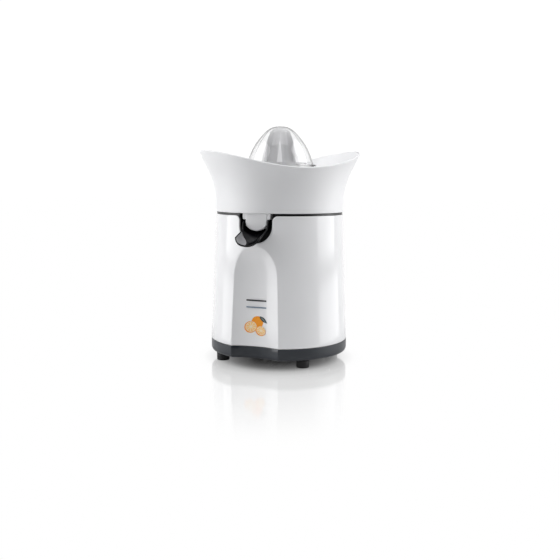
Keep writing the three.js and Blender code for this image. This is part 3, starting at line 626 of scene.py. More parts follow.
def base_pan():
    edge = math.asin(FRONT_HALF / RADIUS_BOTTOM)
    columns = front_columns()
    back = [edge + (2 * math.pi - 2 * edge) * k / 150 for k in range(1, 150)]

    def ring(z, sunk):
        front = [front_point(x, z, RADIUS_BOTTOM, sunk) for x in columns]
        return front + [place(*around(RADIUS_BOTTOM - sunk, turn), z) for turn in back]

    def bottom_edge(k):
        turn = math.pi / 2 * k / 6
        return BASE_BOTTOM + BASE_EDGE_UP * (1 - math.cos(turn)), BASE_EDGE_IN * (1 - math.sin(turn))

    levels = [bottom_edge(k) for k in range(7)]
    levels += [(z, 0) for z in (15, 18, BASE_TOP - 0.3)] + [(BASE_TOP, 0.3)]
    levels += [(BASE_TOP, BASE_WALL), (BASE_BOTTOM + BASE_FLOOR, BASE_WALL)]
    bm = bmesh.new()
    rings = [[bm.verts.new(p) for p in ring(z, sunk)] for z, sunk in levels]
    for lower, upper in zip(rings, rings[1:]):
        bridge(bm, lower, upper)
    for closing, z in ((rings[0], BASE_BOTTOM), (rings[-1], BASE_BOTTOM + BASE_FLOOR)):
        bridge(bm, closing, [bm.verts.new(place(0, 0, z))])
    piece = finished("base_pan_skin", bm, 40)
    cut = (BASE_BOTTOM - 1, BASE_BOTTOM + BASE_FLOOR + 2)
    tools = [disc(1.8, middle_of(f"base_screw_{k}"), *cut) for k in (1, 2, 3)]
    tools += [disc(3, middle_of(f"foot_{k}"), *cut) for k in (1, 2, 3, 4)]
    for x in (-24, -12, 0, 12, 24):
        slot = arc((x, 6), 1.5, 0, 180, 10) + arc((x, -34), 1.5, 180, 360, 10)
        tools.append(slab("tool", slot, "z", *cut))
    return carved(piece, tools, sharp_deg=40)


dressed(base_pan(), dark_base, "housing", ["base_pan"])


def foot_pad(node):
    top = BASE_BOTTOM - 0.3
    outline = [(0, 0), (7.0, 0, 0.9), (7.2, top, 0.7), (2.7, top), (2.7, top + 4.6, 0.4), (0, top + 4.6)]
    return lathe(f"{node}_pad", rounded(outline), 64, centre=middle_of(node))


for node in ("foot_1", "foot_2", "foot_3", "foot_4"):
    dressed(foot_pad(node), rubber, "housing", [node])


def cord_grommet():
    z = middle_height_of("cord_grommet")
    inside_wall = [(3.6, 69.2, 0.5), (7.6, 69.2, 0.4), (7.6, 72.6)]
    groove = [(5.6, 72.6), (5.6, 77.3)]
    outside_wall = [(8.2, 77.3), (8.0, 80.2, 1.1), (3.6, 80.4, 0.9)]
    turns = [2 * math.pi * k / 64 for k in range(64)]
    bm = bmesh.new()
    rings = []
    for radius, y in rounded(inside_wall + groove + outside_wall):
        rings.append([bm.verts.new(place(radius * math.cos(t), y, z + radius * math.sin(t))) for t in turns])
    for ring, other in zip(rings, rings[1:] + rings[:1]):
        bridge(bm, ring, other)
    return finished("cord_grommet_ring", bm)


dressed(cord_grommet(), black_satin, "housing", ["cord_grommet"])

# ---------------------------------------------------------------- deck, collar and spout liner
DECK_BOTTOM = SHELL_TOP + 0.3
LINER_BACK_Y, LINER_WALL, GAP = 51.8, 0.8, 0.3


def top_deck():
    top = 166
    outline = rounded(
        [
            (6.6, 158),
            (12, 158),
            (12, DECK_BOTTOM),
            (66.6, DECK_BOTTOM),
            (66.6, 157),
            (68.6, 157),
            (68.6, DECK_BOTTOM),
            (71, DECK_BOTTOM),
            (71, top, 0.5),
            (12, top, 1.2),
            (12, 186, 0.6),
            (6.6, 186, 0.4),
        ]
    )
    piece = lathe("top_deck_skin", outline)
    bay = block((-NOTCH_HALF - GAP, NOTCH_HALF + GAP), (-90, -LINER_BACK_Y + GAP), (150, 170))
    ears = block((-28, 28), (-90, -LINER_BACK_Y + GAP), (150, DECK_BOTTOM - 0.02))
    return carved(piece, [bay, ears])


dressed(top_deck(), black_satin, "housing", ["top_deck"])


def notch_outline(shrink, top):
    half = NOTCH_HALF - shrink
    corner = (NOTCH_HALF + NOTCH_FILLET, SHELL_TOP - NOTCH_FILLET)
    fillet = arc(corner, NOTCH_FILLET + shrink, 180, 96, 10)
    right = fillet + [(corner[0], top)]
    left = [(-x, z) for x, z in reversed(right)]
    return arc((0, NOTCH_CENTRE_Z), half, 180, 360, 48) + right + left


def spout_liner():
    piece = slab("spout_liner_skin", notch_outline(GAP, SHELL_TOP + 2), "y", -90, -LINER_BACK_Y)
    inside = slab(
        "tool", notch_outline(GAP + LINER_WALL, SHELL_TOP + 3), "y", -91, -LINER_BACK_Y - LINER_WALL, (0, 0.8)
    )
    carved(piece, [inside])
    outline = rounded(
        [
            (0, 120),
            (shell_radius(120) - 0.25, 120),
            (shell_radius(SHELL_TOP) - 0.25, SHELL_TOP, 0.4),
            (0, SHELL_TOP),
        ]
    )
    return carved(piece, [lathe("tool", outline, 256)], "INTERSECT")


dressed(spout_liner(), black_satin, "housing", ["spout_liner"])

bushing_outline = [(4.5, 168, 0.2), (6.3, 168, 0.2), (6.3, 184, 0.2), (4.5, 184, 0.2)]
bushing = lathe("upper_bushing_ring", rounded(bushing_outline), 64)
dressed(bushing, nylon, "housing", ["upper_bushing"])

seal_outline = [(4.5, 186.3, 0.3), (12, 186.3, 0.3), (11.4, 189, 0.8), (4.5, 189, 0.8)]
seal = lathe("shaft_seal_ring", rounded(seal_outline), 96)
dressed(seal, rubber, "housing", ["shaft_seal"])

# ---------------------------------------------------------------- press spring
SPRING_RADIUS, SPRING_WIRE, SPRING_TURNS = 5.7, 0.6, 2.5
SPRING_LOW, SPRING_HIGH = 103.5, 108.8


def press_spring():
    steps = 160
    bm = bmesh.new()
    rings = []
    for i in range(steps + 1):
        share = i / steps
        ring = []
        for across, up in arc((0, 0), SPRING_WIRE, 0, 337.5, 15):
            x, y = around(SPRING_RADIUS + across, 2 * math.pi * SPRING_TURNS * share)
            ring.append(bm.verts.new(place(x, y, SPRING_LOW + (SPRING_HIGH - SPRING_LOW) * share + up)))
        rings.append(ring)
    tube(bm, rings)
    return finished("press_spring_coil", bm, 50)


spring = press_spring()
dressed(spring, steel, "press", ["press_spring"])
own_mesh(spring)

# ---------------------------------------------------------------- bowl
BOWL_EDGE_Z = 166.3
BOWL_RADIUS, BOWL_WALL = 72, 2.4
FLARE_START_Z, FLARE_ARC, FLARE_SLOPE = 174, 87, 0.5
RIM_MEAN_Z, RIM_WAVE, RIM_TILT = 225.3, 9.15, 1.25
RIM_PEAK = math.radians(132.5)
WAVE_START_Z = 186
TONGUE_HALF, TONGUE_FRONT_Y, TONGUE_BACK_Y = 12.3, 69, 60
TONGUE_BOTTOM, TONGUE_ARC, TONGUE_CORNER = 147.5, 15.6, 4.5
SHOULDER_HALF, SHOULDER_BOTTOM, SHOULDER_TOP = 16, 159.7, 170.2
PIVOT_Y, PIVOT_Z = 66, 153.5
SPOUT_SLOPE = 0.377


def flare_radius(z):
    arc_top = FLARE_START_Z + FLARE_ARC * math.sin(math.atan(FLARE_SLOPE))
    rise = min(max(z - FLARE_START_Z, 0), arc_top - FLARE_START_Z)
    on_arc = BOWL_RADIUS + FLARE_ARC - math.sqrt(FLARE_ARC**2 - rise**2)
    return on_arc + FLARE_SLOPE * max(z - arc_top, 0)


def rim_height(turn):
    return RIM_MEAN_Z + RIM_WAVE * math.cos(2 * (turn - RIM_PEAK)) - RIM_TILT * math.cos(turn)


def wavy_rim(radius, z, turn):
    if z < WAVE_START_Z:
        return radius, z
    share = (z - WAVE_START_Z) / (RIM_MEAN_Z - WAVE_START_Z)
    height = WAVE_START_Z + share * (rim_height(turn) - WAVE_START_Z)
    return radius + flare_radius(height) - flare_radius(z), height


def bowl():
    edge = BOWL_WALL / 2
    levels = [FLARE_START_Z + 2.5 * k for k in range(21)]
    levels = [z for z in levels if z < RIM_MEAN_Z - edge] + [RIM_MEAN_Z - edge]
    outside = [(flare_radius(z), z) for z in levels]
    top = flare_radius(RIM_MEAN_Z - edge) - edge
    rim = arc((top, RIM_MEAN_Z - edge), edge, 18, 162, 8)
    inside = [(flare_radius(z) - BOWL_WALL, z) for z in reversed(levels)]
    start = rounded([(67.6, 168.8), (68, BOWL_EDGE_Z), (BOWL_RADIUS, BOWL_EDGE_Z, 0.7), (BOWL_RADIUS, 172)])
    floor = rounded([(69.6, 176), (66, 171.2, 3), (19, 173.6, 2), (16.6, 176)])[1:]
    tube = rounded([(16.6, 178), (16.6, 204.4, 0.8), (14.2, 204.4, 0.8), (14.2, 168.8)])[1:]
    piece = lathe("bowl_skin", start + outside + rim + inside + floor + tube, 240, wavy_rim, sharp_deg=40)
    right = [(TONGUE_HALF, 156), (TONGUE_HALF, 170.5)]
    tongue = [(-x, z) for x, z in reversed(right)] + tongue_bottom() + right
    duct = slab("tool", tongue, "y", -TONGUE_FRONT_Y, -TONGUE_BACK_Y, (1.3, 0), 40)
    reach = TONGUE_FRONT_Y - TONGUE_BACK_Y + 1
    wedge = [
        (-TONGUE_FRONT_Y - 1, TONGUE_BOTTOM - SPOUT_SLOPE),
        (-TONGUE_BACK_Y + 1, TONGUE_BOTTOM + reach * SPOUT_SLOPE),
        (-TONGUE_BACK_Y + 1, TONGUE_BOTTOM - 5),
        (-TONGUE_FRONT_Y - 1, TONGUE_BOTTOM - 5),
    ]
    carved(duct, [slab("tool", wedge, "x", -20, 20)], sharp_deg=40)
    shoulder = rounded(
        [
            (-SHOULDER_HALF, SHOULDER_BOTTOM, 1.5),
            (SHOULDER_HALF, SHOULDER_BOTTOM, 1.5),
            (SHOULDER_HALF, SHOULDER_TOP),
            (-SHOULDER_HALF, SHOULDER_TOP),
        ]
    )
    shoulders = slab("tool", shoulder, "y", -TONGUE_FRONT_Y + 0.8, -TONGUE_BACK_Y - 0.2, (0.8, 0))
    carved(piece, [duct, shoulders], "UNION", 40)
    hole = rounded([(-10.4, -67.1, 1.5), (10.4, -67.1, 1.5), (10.4, -61.8, 1.5), (-10.4, -61.8, 1.5)])
    drain = slab("tool", hole, "z", TONGUE_BOTTOM - 6, 176)
    pivot = disc(1.8, (-PIVOT_Y, PIVOT_Z), -TONGUE_HALF - 1, TONGUE_HALF + 1, "x", 24)
    return carved(piece, [drain, pivot], sharp_deg=40)


def tongue_bottom():
    """The tongue's lower outline from -x to +x: a shallow arc whose ends turn up into the sides."""
    centre_z = TONGUE_BOTTOM + TONGUE_ARC
    half, reach = TONGUE_HALF - TONGUE_CORNER, TONGUE_ARC - TONGUE_CORNER
    blend = math.degrees(math.asin(half / reach))
    corner_z = centre_z - math.sqrt(reach**2 - half**2)
    left = arc((-half, corner_z), TONGUE_CORNER, 180, 270 - blend, 6)
    middle = arc((0, centre_z), TONGUE_ARC, 270 - blend, 270 + blend, 16)[1:-1]
    return left + middle + arc((half, corner_z), TONGUE_CORNER, 270 + blend, 360, 6)


dressed(bowl(), white_satin, "bowl", ["bowl"])

# ---------------------------------------------------------------- spout lever
SPOUT_REACH, SPOUT_LOW_Z, SPOUT_HALF, SPOUT_DEPTH, SPOUT_WALL = 96, 132, 14.9, 10, 1.6
SPOUT_CORNER, SPOUT_RIM_Y, SPOUT_RIM_Z = 8, 72.5, 149.4
SPOUT_BACK_Y, SPOUT_BACK_Z = 55.4, 151
LUG_RADIUS = 5.6
CORE = SPOUT_WALL / 2
CORE_HALF, CORE_DEPTH = SPOUT_HALF - CORE, SPOUT_DEPTH - CORE


def channel_table():
    """Distance along the half ellipse from its lowest point, for even steps of its parameter."""
    steps, length = 200, 0
    table = [(0, 0)]
    last = (0, 0)
    for k in range(1, steps + 1):
        t = math.pi / 2 * k / steps
        here = (CORE_HALF * math.sin(t), CORE_DEPTH * (1 - math.cos(t)))
        length += math.dist(last, here)
        table.append((length, t))
        last = here
    return table


CHANNEL = channel_table()
CHANNEL_LENGTH = CHANNEL[-1][0]


def channel_section(s):
    """(x, height above the channel's lowest line) at distance s along the section, negative for -x."""
    side, s = (-1 if s < 0 else 1), abs(s)
    if s >= CHANNEL_LENGTH:
        return side * CORE_HALF, CORE_DEPTH + s - CHANNEL_LENGTH
    low, high = 0, len(CHANNEL) - 1
    while high - low > 1:
        middle = (low + high) // 2
        low, high = (middle, high) if CHANNEL[middle][0] <= s else (low, middle)
    (a, ta), (b, tb) = CHANNEL[low], CHANNEL[high]
    t = ta + (tb - ta) * (s - a) / (b - a)
    return side * CORE_HALF * math.sin(t), CORE_DEPTH * (1 - math.cos(t))


def channel_floor(y):
    return SPOUT_LOW_Z + CORE * 1.07 + (SPOUT_REACH + y) * SPOUT_SLOPE


def spout_place(s, y):
    x, up = channel_section(s)
    return Vector((x, y, channel_floor(y) + up))


def off_channel(s, y, lift):
    """A point that stands off the middle of the wall, into the trough if lift is positive."""
    step = 0.05
    across = spout_place(s + step, y) - spout_place(s - step, y)
    along = spout_place(s, y + step) - spout_place(s, y - step)
    return place(*(spout_place(s, y) + across.cross(along).normalized() * lift))


def spout_point(domain, side):
    s, y, distance = domain
    half = math.sqrt(max(0, CORE**2 - (CORE - min(distance, CORE)) ** 2))
    return off_channel(s, y, half * side)


def distance_for_height(up):
    """Where on the section the wall stands this high above the lowest line."""
    if up >= CORE_DEPTH:
        return CHANNEL_LENGTH + up - CORE_DEPTH
    t = math.acos(1 - up / CORE_DEPTH)
    low = min(range(len(CHANNEL)), key=lambda k: abs(CHANNEL[k][1] - t))
    return CHANNEL[low][0]


def rim_distance():
    """Where the trough's straight rim lies on the section."""
    up = SPOUT_RIM_Z - (SPOUT_REACH - SPOUT_RIM_Y) * SPOUT_SLOPE - channel_floor(-SPOUT_REACH)
    return distance_for_height(up)


def spout_edge():
    """The right half of the trough's outline in (distance along the section, y), from the tip backwards."""
    half = []
    front = SPOUT_HALF - SPOUT_CORNER
    rim_s = rim_distance()
    for k in range(9):
        x = front * k / 9
        half.append((distance_for_x(x), -SPOUT_REACH))
    for x, y in arc((front, -SPOUT_REACH + SPOUT_CORNER), SPOUT_CORNER, 270, 360, 24):
        s = distance_for_x(min(x, CORE_HALF - 0.001))
        if s < rim_s - 0.3:
            half.append((s, y))
    last_y = half[-1][1]
    half.append((rim_s - 0.12, last_y + 0.9))
    start = last_y + 2.2
    half += [(rim_s, start + (-SPOUT_RIM_Y - 1.5 - start) * k / 22) for k in range(23)]
    lug = arc((-PIVOT_Y, PIVOT_Z), LUG_RADIUS, 188, 12, 26)
    last_y, last_z = lug[-1]
    for k in range(1, 6):
        lug.append((last_y + (-SPOUT_BACK_Y - last_y) * k / 5, last_z + (SPOUT_BACK_Z - last_z) * k / 5))
    return half + [(distance_for_height(z - channel_floor(y)), y) for y, z in lug]


def distance_for_x(x):
    t = math.asin(min(1, x / CORE_HALF))
    k = t / (math.pi / 2) * (len(CHANNEL) - 1)
    low = min(int(k), len(CHANNEL) - 2)
    return CHANNEL[low][0] + (CHANNEL[low + 1][0] - CHANNEL[low][0]) * (k - low)


def spout_lever():
    right = spout_edge()
    bottom = [(s, -SPOUT_BACK_Y) for s in [right[-1][0] * (1 - k / 20) for k in range(1, 20)]]
    loop = right[1:] + bottom + [(0, -SPOUT_BACK_Y)]
    loop += [(-s, y) for s, y in reversed(bottom)] + [(-s, y) for s, y in reversed(right)]
    rings = [loop] + [inset(loop, d) for d in edge_steps(CORE)[1:]]
    depth = {}
    for ring, d in zip(rings, edge_steps(CORE)):
        for p in ring:
            depth[(round(p[0], 3), round(p[1], 3))] = d
    limit = [Vector(p) for p in rings[-1]]
    inner = []
    for i in range(-44, 45):
        for j in range(56):
            p = Vector((i * 0.9, -SPOUT_REACH + 0.75 * j))
            if inside(p, rings[-1]) and min((p - q).length for q in limit) > 0.5:
                inner.append(p)
    points, faces = filled(loop, [ring + ring[:1] for ring in rings[1:]], inner)
    domain = [(s, y, depth.get((round(s, 3), round(y, 3)), CORE)) for s, y in points]
    piece = skinned(
        "spout_lever_skin", domain, faces, lambda p: spout_point(p, -1), lambda p: spout_point(p, 1), 50
    )
    extras = []
    for side in (-1, 1):
        start, end = sorted((side * (TONGUE_HALF - 1.2), side * (SPOUT_HALF - 0.5)))
        extras.append(disc(1.4, (-PIVOT_Y, PIVOT_Z), start, end, "x", 24))
    rest = channel_floor(-SPOUT_BACK_Y) - 0.4 + CORE_DEPTH
    turns = [math.pi + math.pi * k / 24 for k in range(25)]
    wall = [(CORE_HALF * math.cos(t), rest + CORE_DEPTH * math.sin(t)) for t in turns]
    wall = [(-CORE_HALF, SPOUT_BACK_Z - 0.4)] + wall + [(CORE_HALF, SPOUT_BACK_Z - 0.4)]
    extras.append(slab("tool", wall, "y", -SPOUT_BACK_Y - SPOUT_WALL, -SPOUT_BACK_Y, (0.5, 0.5), 40))
    return carved(piece, extras, "UNION", 50)


def inside(point, loop):
    hit = False
    for (ax, ay), (bx, by) in zip(loop, loop[1:] + loop[:1]):
        if (ay > point.y) != (by > point.y) and point.x < (bx - ax) * (point.y - ay) / (by - ay) + ax:
            hit = not hit
    return hit


dressed(spout_lever(), black_gloss, "spout", ["spout_lever"])


# The painted reflection inside the spout: its length, and how far its two faces stand off the wall.
REFLECTION_LENGTH, REFLECTION_TOP, REFLECTION_FOOT = 17.5, 0.28, 0.06


def spout_painted_reflection():
    """A thin grey film on the inside of the left wall, a painted reflection of the bright surroundings, from
    the tip back to where the housing begins.
    """
    rim_s = rim_distance()
    bm = bmesh.new()
    rings = []
    for i in range(21):
        share = i / 20
        y = -SPOUT_REACH + 1.1 + REFLECTION_LENGTH * share
        top = tip_limit(y, rim_s) - 1.0
        low = min(1.2 + (rim_s - 2.6) * share**2.3, top - 0.1)
        across = [-(low + (top - low) * j / 12) for j in range(13)]
        ring = [off_channel(s, y, CORE + REFLECTION_TOP) for s in across]
        ring += [off_channel(s, y, CORE + REFLECTION_FOOT) for s in reversed(across)]
        rings.append([bm.verts.new(p) for p in ring])
    tube(bm, rings)
    return finished("spout_painted_reflection", bm, 50)


def tip_limit(y, rim_s):
    """The distance along the section at which the rounded tip ends, at this y."""
    into = y + SPOUT_REACH
    if into >= SPOUT_CORNER:
        return rim_s
    x = SPOUT_HALF - SPOUT_CORNER + math.sqrt(max(0, SPOUT_CORNER**2 - (SPOUT_CORNER - into) ** 2))
    return min(rim_s, distance_for_x(min(x, CORE_HALF - 0.001)))


dressed(spout_painted_reflection(), painted_reflection_plastic, "spout")

# ---------------------------------------------------------------- strainer
STRAINER_SLOTS = 12
SLOT_START, SLOT_END, SLOT_HALF = 28.3, 62.7, 1.3


def strainer():
    outline = rounded(
        [
            (68, 194),
            (42, 186, 4),
            (20, 186),
            (20, 200.8, 0.8),
            (22, 200.8, 0.8),
            (22, 188, 1.2),
            (41, 188, 4),
            (67.8, 196.4, 2),
            (71.4, 198.8, 0.6),
            (71.4, 197, 0.4),
        ]
    )
    piece = lathe("strainer_skin", outline)
    slot = arc((0, SLOT_START), SLOT_HALF, 180, 360, 8) + arc((0, SLOT_END), SLOT_HALF, 0, 180, 8)
    tools = []
    for k in range(STRAINER_SLOTS):
        turn = 2 * math.pi * k / STRAINER_SLOTS
        tools.append(slab("tool", [rotated(p, turn) for p in slot], "z", 180, 200))
    return carved(piece, tools)


dressed(strainer(), white_satin, "strainer", ["strainer"])


# ---------------------------------------------------------------- reamer cones
def smooth_line(points, steps=6):
    """A smooth curve through the points."""
    line = []
    ends = [points[0]] + list(points) + [points[-1]]
    for a, b, c, d in zip(ends, ends[1:], ends[2:], ends[3:]):
        for k in range(steps):
            t = k / steps
            line.append(tuple(between(p, q, r, s, t) for p, q, r, s in zip(a, b, c, d)))
    return line + [tuple(points[-1])]


def between(p, q, r, s, t):
    return 0.5 * (2 * q + (r - p) * t + (2 * p - 5 * q + 4 * r - s) * t**2 + (3 * q - p - 3 * r + s) * t**3)


CONE_FLANGE_Z = 219.5
FIN_COUNT, FIN_FIRST_DEG, FIN_TOP, FIN_BOTTOM = 6, 20, 245, 220.2
FIN_HALF, FIN_STAND, FIN_ROOT, FIN_BULGE = 2.9, 0.3, 5.4, 0.45
SMALL_CONE_LINE = [
    (0, 260.1),
    (4.5, 259.5),
    (9.1, 256.8),
    (13, 252.2),
    (15.6, 247.6),
    (17.4, 241),
    (20, 230),
    (23.0, 219.6),
]
LARGE_CONE_OUTER = [
    (0, 261.4),
    (4.5, 261.2),
    (9.5, 260.0),
    (14, 257.5),
    (18.4, 253.5),
    (24, 247.2),
    (29.4, 239.5),
    (34.0, 230),
    (37.4, 220.4),
]
LARGE_CONE_FLANGE = [
    (37.6, 219.9),
    (37.7, 219, 0.5),
    (41, 219, 0.6),
    (41, 217, 0.6),
    (38.6, 217, 0.4),
    (38.6, 208, 0.5),
    (27, 208, 0.4),
    (27, 209.8, 0.4),
    (36.6, 209.8, 1),
    (36.55, 219),
]
LARGE_CONE_INNER = [
    (36.5, 220.3),
    (33.1, 229.7),
    (28.6, 239.0),
    (23.3, 246.5),
    (17.8, 252.8),
    (13.5, 256.7),
    (9.2, 259.1),
    (4.3, 260.3),
    (0, 260.5),
]


def finned(count, depth, first_deg, sharpness, smooth_r):
    """Ribs that stand on a cone: each is highest on its own line, and the cone is hollowed between them."""

    def reshape(radius, z, turn):
        if z < CONE_FLANGE_Z or radius < 1:
            return radius, z
        fade = min(1, (z - CONE_FLANGE_Z) / 3) * min(1, max(0, radius - smooth_r) / 7)
        phase = (turn - math.radians(first_deg)) * count / (2 * math.pi)
        away = abs(phase - round(phase)) * 2
        hollow = 1 - (1 - away) ** sharpness
        return radius - fade * depth * hollow, z

    return reshape


def small_cone():
    outer = smooth_line(SMALL_CONE_LINE)
    skirt = [(24.6, 213), (26.4, 206.8)]
    edge = rounded([(26.4, 206.8), (26.4, 206, 0.5), (24.2, 206, 0.5), (23.6, 208)])[1:-1]
    inner = smooth_line([(23.4, 209), (20.4, 219), (16.6, 232), (13.4, 243), (7.6, 247)])
    hub = rounded([(7.6, 240), (7.6, 206, 0.5), (0, 206)])[1:]
    fins = finned(FIN_COUNT, 5.2, FIN_FIRST_DEG, 3, 11.5)
    piece = lathe("small_cone_skin", outer + skirt + edge + inner + hub, 384, fins, sharp_deg=60)
    half = 3.8
    socket = block((-half, half), (-half, half), (204, 229))
    return carved(piece, [socket], sharp_deg=60)


def large_cone():
    flange = rounded(LARGE_CONE_FLANGE)[1:-1]
    outline = smooth_line(LARGE_CONE_OUTER) + flange + smooth_line(LARGE_CONE_INNER)
    return lathe("large_cone_skin", outline, 480, finned(10, 0.3, 3, 2.2, 12), sharp_deg=50)


dressed(small_cone(), grey_plastic, "small_cone", ["small_cone"])


def cone_fins():
    """Pale fins, their colour a painted highlight along the cone's ribs: pointed at the top and widening
    downwards.
    """
    bm = bmesh.new()
    for k in range(FIN_COUNT):
        middle = math.radians(FIN_FIRST_DEG + 360 * k / FIN_COUNT)
        rings = []
        for i in range(25):
            share = i / 24
            z = FIN_TOP + (FIN_BOTTOM - FIN_TOP) * share
            radius = fin_radius(z)
            half = 0.15 + FIN_HALF * share**0.8
            swell = FIN_BULGE * min(1, share * 6)
            across = [j / 3 - 1 for j in range(7)]
            corners = [(radius + FIN_STAND + swell * (1 - a**2), a) for a in across]
            corners += [(radius - FIN_ROOT, -a) for a in across]
            rings.append([bm.verts.new(place(*around(r, middle + a * half / radius), z)) for r, a in corners])
        tube(bm, rings)
    return finished("small_cone_fins", bm, 50)


def fin_radius(z):
    line = smooth_line(SMALL_CONE_LINE)
    for (ra, za), (rb, zb) in zip(line, line[1:]):
        if zb <= z <= za:
            return ra + (rb - ra) * (za - z) / (za - zb)
    return line[-1][0]


dressed(cone_fins(), fin_highlight_plastic, "small_cone")
cover = dressed(large_cone(), clear_plastic, "large_cone", ["large_cone"])
cover.visible_shadow = False


# ---------------------------------------------------------------- drive shaft
def drive_shaft():
    pin = [(0, 88), (3, 88, 0.4), (3, 112), (2.9, 112), (2.9, 130)]
    rod = [(4.2, 130, 0.2), (4.2, 202.8)]
    collar = [(6.4, 202.8, 0.5), (6.4, 205.7, 0.4)]
    core = [(3.3, 205.7), (3.3, 226), (0, 226)]
    piece = lathe("drive_shaft_skin", rounded(pin + rod + collar + core), 64)
    top = slab("tool", square_outline(3.5, 0.5), "z", 205, 228, (0, 0.6))
    low = slab("tool", square_outline(3, 0.4), "z", 111.6, 131)
    return carved(piece, [top, low], "UNION")


def square_outline(half, corner):
    corners = ((-half, -half), (half, -half), (half, half), (-half, half))
    return rounded([(*point, corner) for point in corners])


dressed(drive_shaft(), steel, "spindle", ["drive_shaft"])


# ---------------------------------------------------------------- print on the front panel
FILM_STEP, FILM_HALF = 0.9, 0.03


def decal(name, outline, material, lift):
    """A thin film that lies on the hollow panel. Its outline is in (x, z)."""
    xs, zs = [p[0] for p in outline], [p[1] for p in outline]
    inner = []
    for i in range(int((max(xs) - min(xs)) / FILM_STEP)):
        for j in range(int((max(zs) - min(zs)) / FILM_STEP)):
            p = Vector((min(xs) + FILM_STEP * (i + 0.5), min(zs) + FILM_STEP * (j + 0.5)))
            if inside(p, outline) and min((p - Vector(q)).length for q in outline) > 0.35:
                inner.append(p)
    points, faces = filled(outline, [], inner)

    def film(height):
        return lambda p: place(p[0], -front_depth(p[0], p[1], shell_radius(p[1])) - height, p[1])

    piece = skinned(name, points, faces, film(lift + FILM_HALF), film(lift - FILM_HALF), 60)
    return dressed(piece, material, "housing")


def ellipse(centre, a, b, tilt_deg=0, steps=48):
    turns = [2 * math.pi * k / steps for k in range(steps)]
    return tilted([(a * math.cos(t), b * math.sin(t)) for t in turns], centre, tilt_deg)


def tilted(outline, centre, tilt_deg):
    spun = [rotated(p, math.radians(tilt_deg)) for p in outline]
    return [(centre[0] + x, centre[1] + z) for x, z in spun]


def segment(centre, a, b, tilt_deg, index, count):
    """One wedge of a cut orange, inside an ellipse."""
    turns = [2 * math.pi * (index + 0.08 + 0.84 * k / 6) / count for k in range(7)]
    wedge = [(a * math.cos(t), b * math.sin(t)) for t in turns]
    middle = 2 * math.pi * (index + 0.5) / count
    wedge.append((a * 0.16 * math.cos(middle), b * 0.16 * math.sin(middle)))
    return tilted(wedge, centre, tilt_deg)


def leaf(start, end, width):
    (ax, az), (bx, bz) = start, end
    along = Vector((bx - ax, bz - az))
    across = Vector((-along.y, along.x)).normalized() * width
    shares = [k / 14 for k in range(15)]
    upper = [Vector(start) + along * t + across * math.sin(math.pi * t**0.85) for t in shares]
    lower = [Vector(start) + along * t - across * math.sin(math.pi * t**0.85) for t in shares[1:-1]]
    return [tuple(p) for p in lower + upper[::-1]]


decal("print_whole_orange", ellipse((1.2, 49.2), 6.9, 6.5, 10), print_orange, 0.05)
halves = [((-6.6, 43.6), 7.2, 6.3, 24), ((5.2, 39.9), 6.2, 5.3, -14)]
for number, (centre, a, b, tilt) in enumerate(halves, 1):
    layer = 0.11 + 0.18 * (number - 1)
    decal(f"print_half_{number}_peel", ellipse(centre, a, b, tilt), print_orange, layer)
    face = (centre[0] + 0.5, centre[1] + 0.35)
    decal(f"print_half_{number}_pith", ellipse(face, a * 0.88, b * 0.87, tilt), print_pith, layer + 0.06)
    for k in range(9):
        wedge = segment(face, a * 0.8, b * 0.79, tilt, k, 9)
        decal(f"print_half_{number}_segment_{k + 1}", wedge, print_flesh, layer + 0.12)
decal("print_leaf", leaf((3.6, 55.6), (13.0, 48.6), 2.1), print_leaf, 0.11)
decal("print_leaf_vein", leaf((4.6, 54.9), (12.0, 49.4), 0.25), print_vein, 0.17)
for name, low, high, material in (("upper", 72.0, 73.5, print_dark), ("lower", 64.6, 65.9, print_blue)):
    decal(f"print_line_{name}", [(-11.6, low), (11.6, low), (11.6, high), (-11.6, high)], material, 0.05)

# ---------------------------------------------------------------- materials on the CAD nodes that stay
NODE_MATERIALS = {
    "cord_clamp": nylon,
    "base_screw": steel,
    "gearbox_screw": steel,
    "gearbox_plate": zinc,
    "gearbox_cover": nylon,
    "lower_bushing": steel,
    "idler_pin": steel,
    "idler_gear": nylon,
    "output_gear": nylon,
    "gear_clip": steel,
    "motor_pinion": steel,
    "motor_rotor": laminations,
    "motor_stator": laminations,
    "motor_coil": winding,
    "motor_bracket": zinc,
    "motor_spacer": steel,
    "motor_screw": steel,
    "thrust_collar": nylon,
    "micro_switch": black_satin,
    "switch_plunger": nylon,
}
for name, node in frame["nodes"].items():
    if node.hide_render:
        continue
    family = max((key for key in NODE_MATERIALS if name.startswith(key)), key=len)
    node.data.materials.clear()
    node.data.materials.append(NODE_MATERIALS[family])

# ---------------------------------------------------------------- camera
CAMERA_TURN = math.radians(21.3)
CAMERA_DISTANCE, CAMERA_SIDE, CAMERA_HEIGHT = 930, 0.82, 201.4
CAMERA_PITCH, CAMERA_ROLL = math.radians(6.98), math.radians(0.41)

camera = placed("camera", bpy.data.cameras.new("camera"))
camera.data.sensor_width, camera.data.lens = 36, 52.4
camera.data.clip_start, camera.data.clip_end = 0.01, 60
x, y = around(CAMERA_DISTANCE, CAMERA_TURN)
side = Vector((math.cos(CAMERA_TURN), math.sin(CAMERA_TURN))) * CAMERA_SIDE
camera.location = place(x + side.x, y + side.y, CAMERA_HEIGHT)
forward = Vector((-math.sin(CAMERA_TURN), math.cos(CAMERA_TURN), -math.tan(CAMERA_PITCH)))
camera.rotation_mode = "QUATERNION"
camera.rotation_quaternion = forward.to_track_quat("-Z", "Y") @ Quaternion((0, 0, 1), CAMERA_ROLL)
bpy.context.scene.camera = camera

# ---------------------------------------------------------------- stage and light
STAGE_RADIUS = 9.0


def stage_material(name, build):
    material = bpy.data.materials.new(name)
    material.use_nodes = True
    tree = material.node_tree
    tree.nodes.clear()
    output = tree.nodes.new("ShaderNodeOutputMaterial")
    tree.links.new(build(tree), output.inputs["Surface"])
    return material


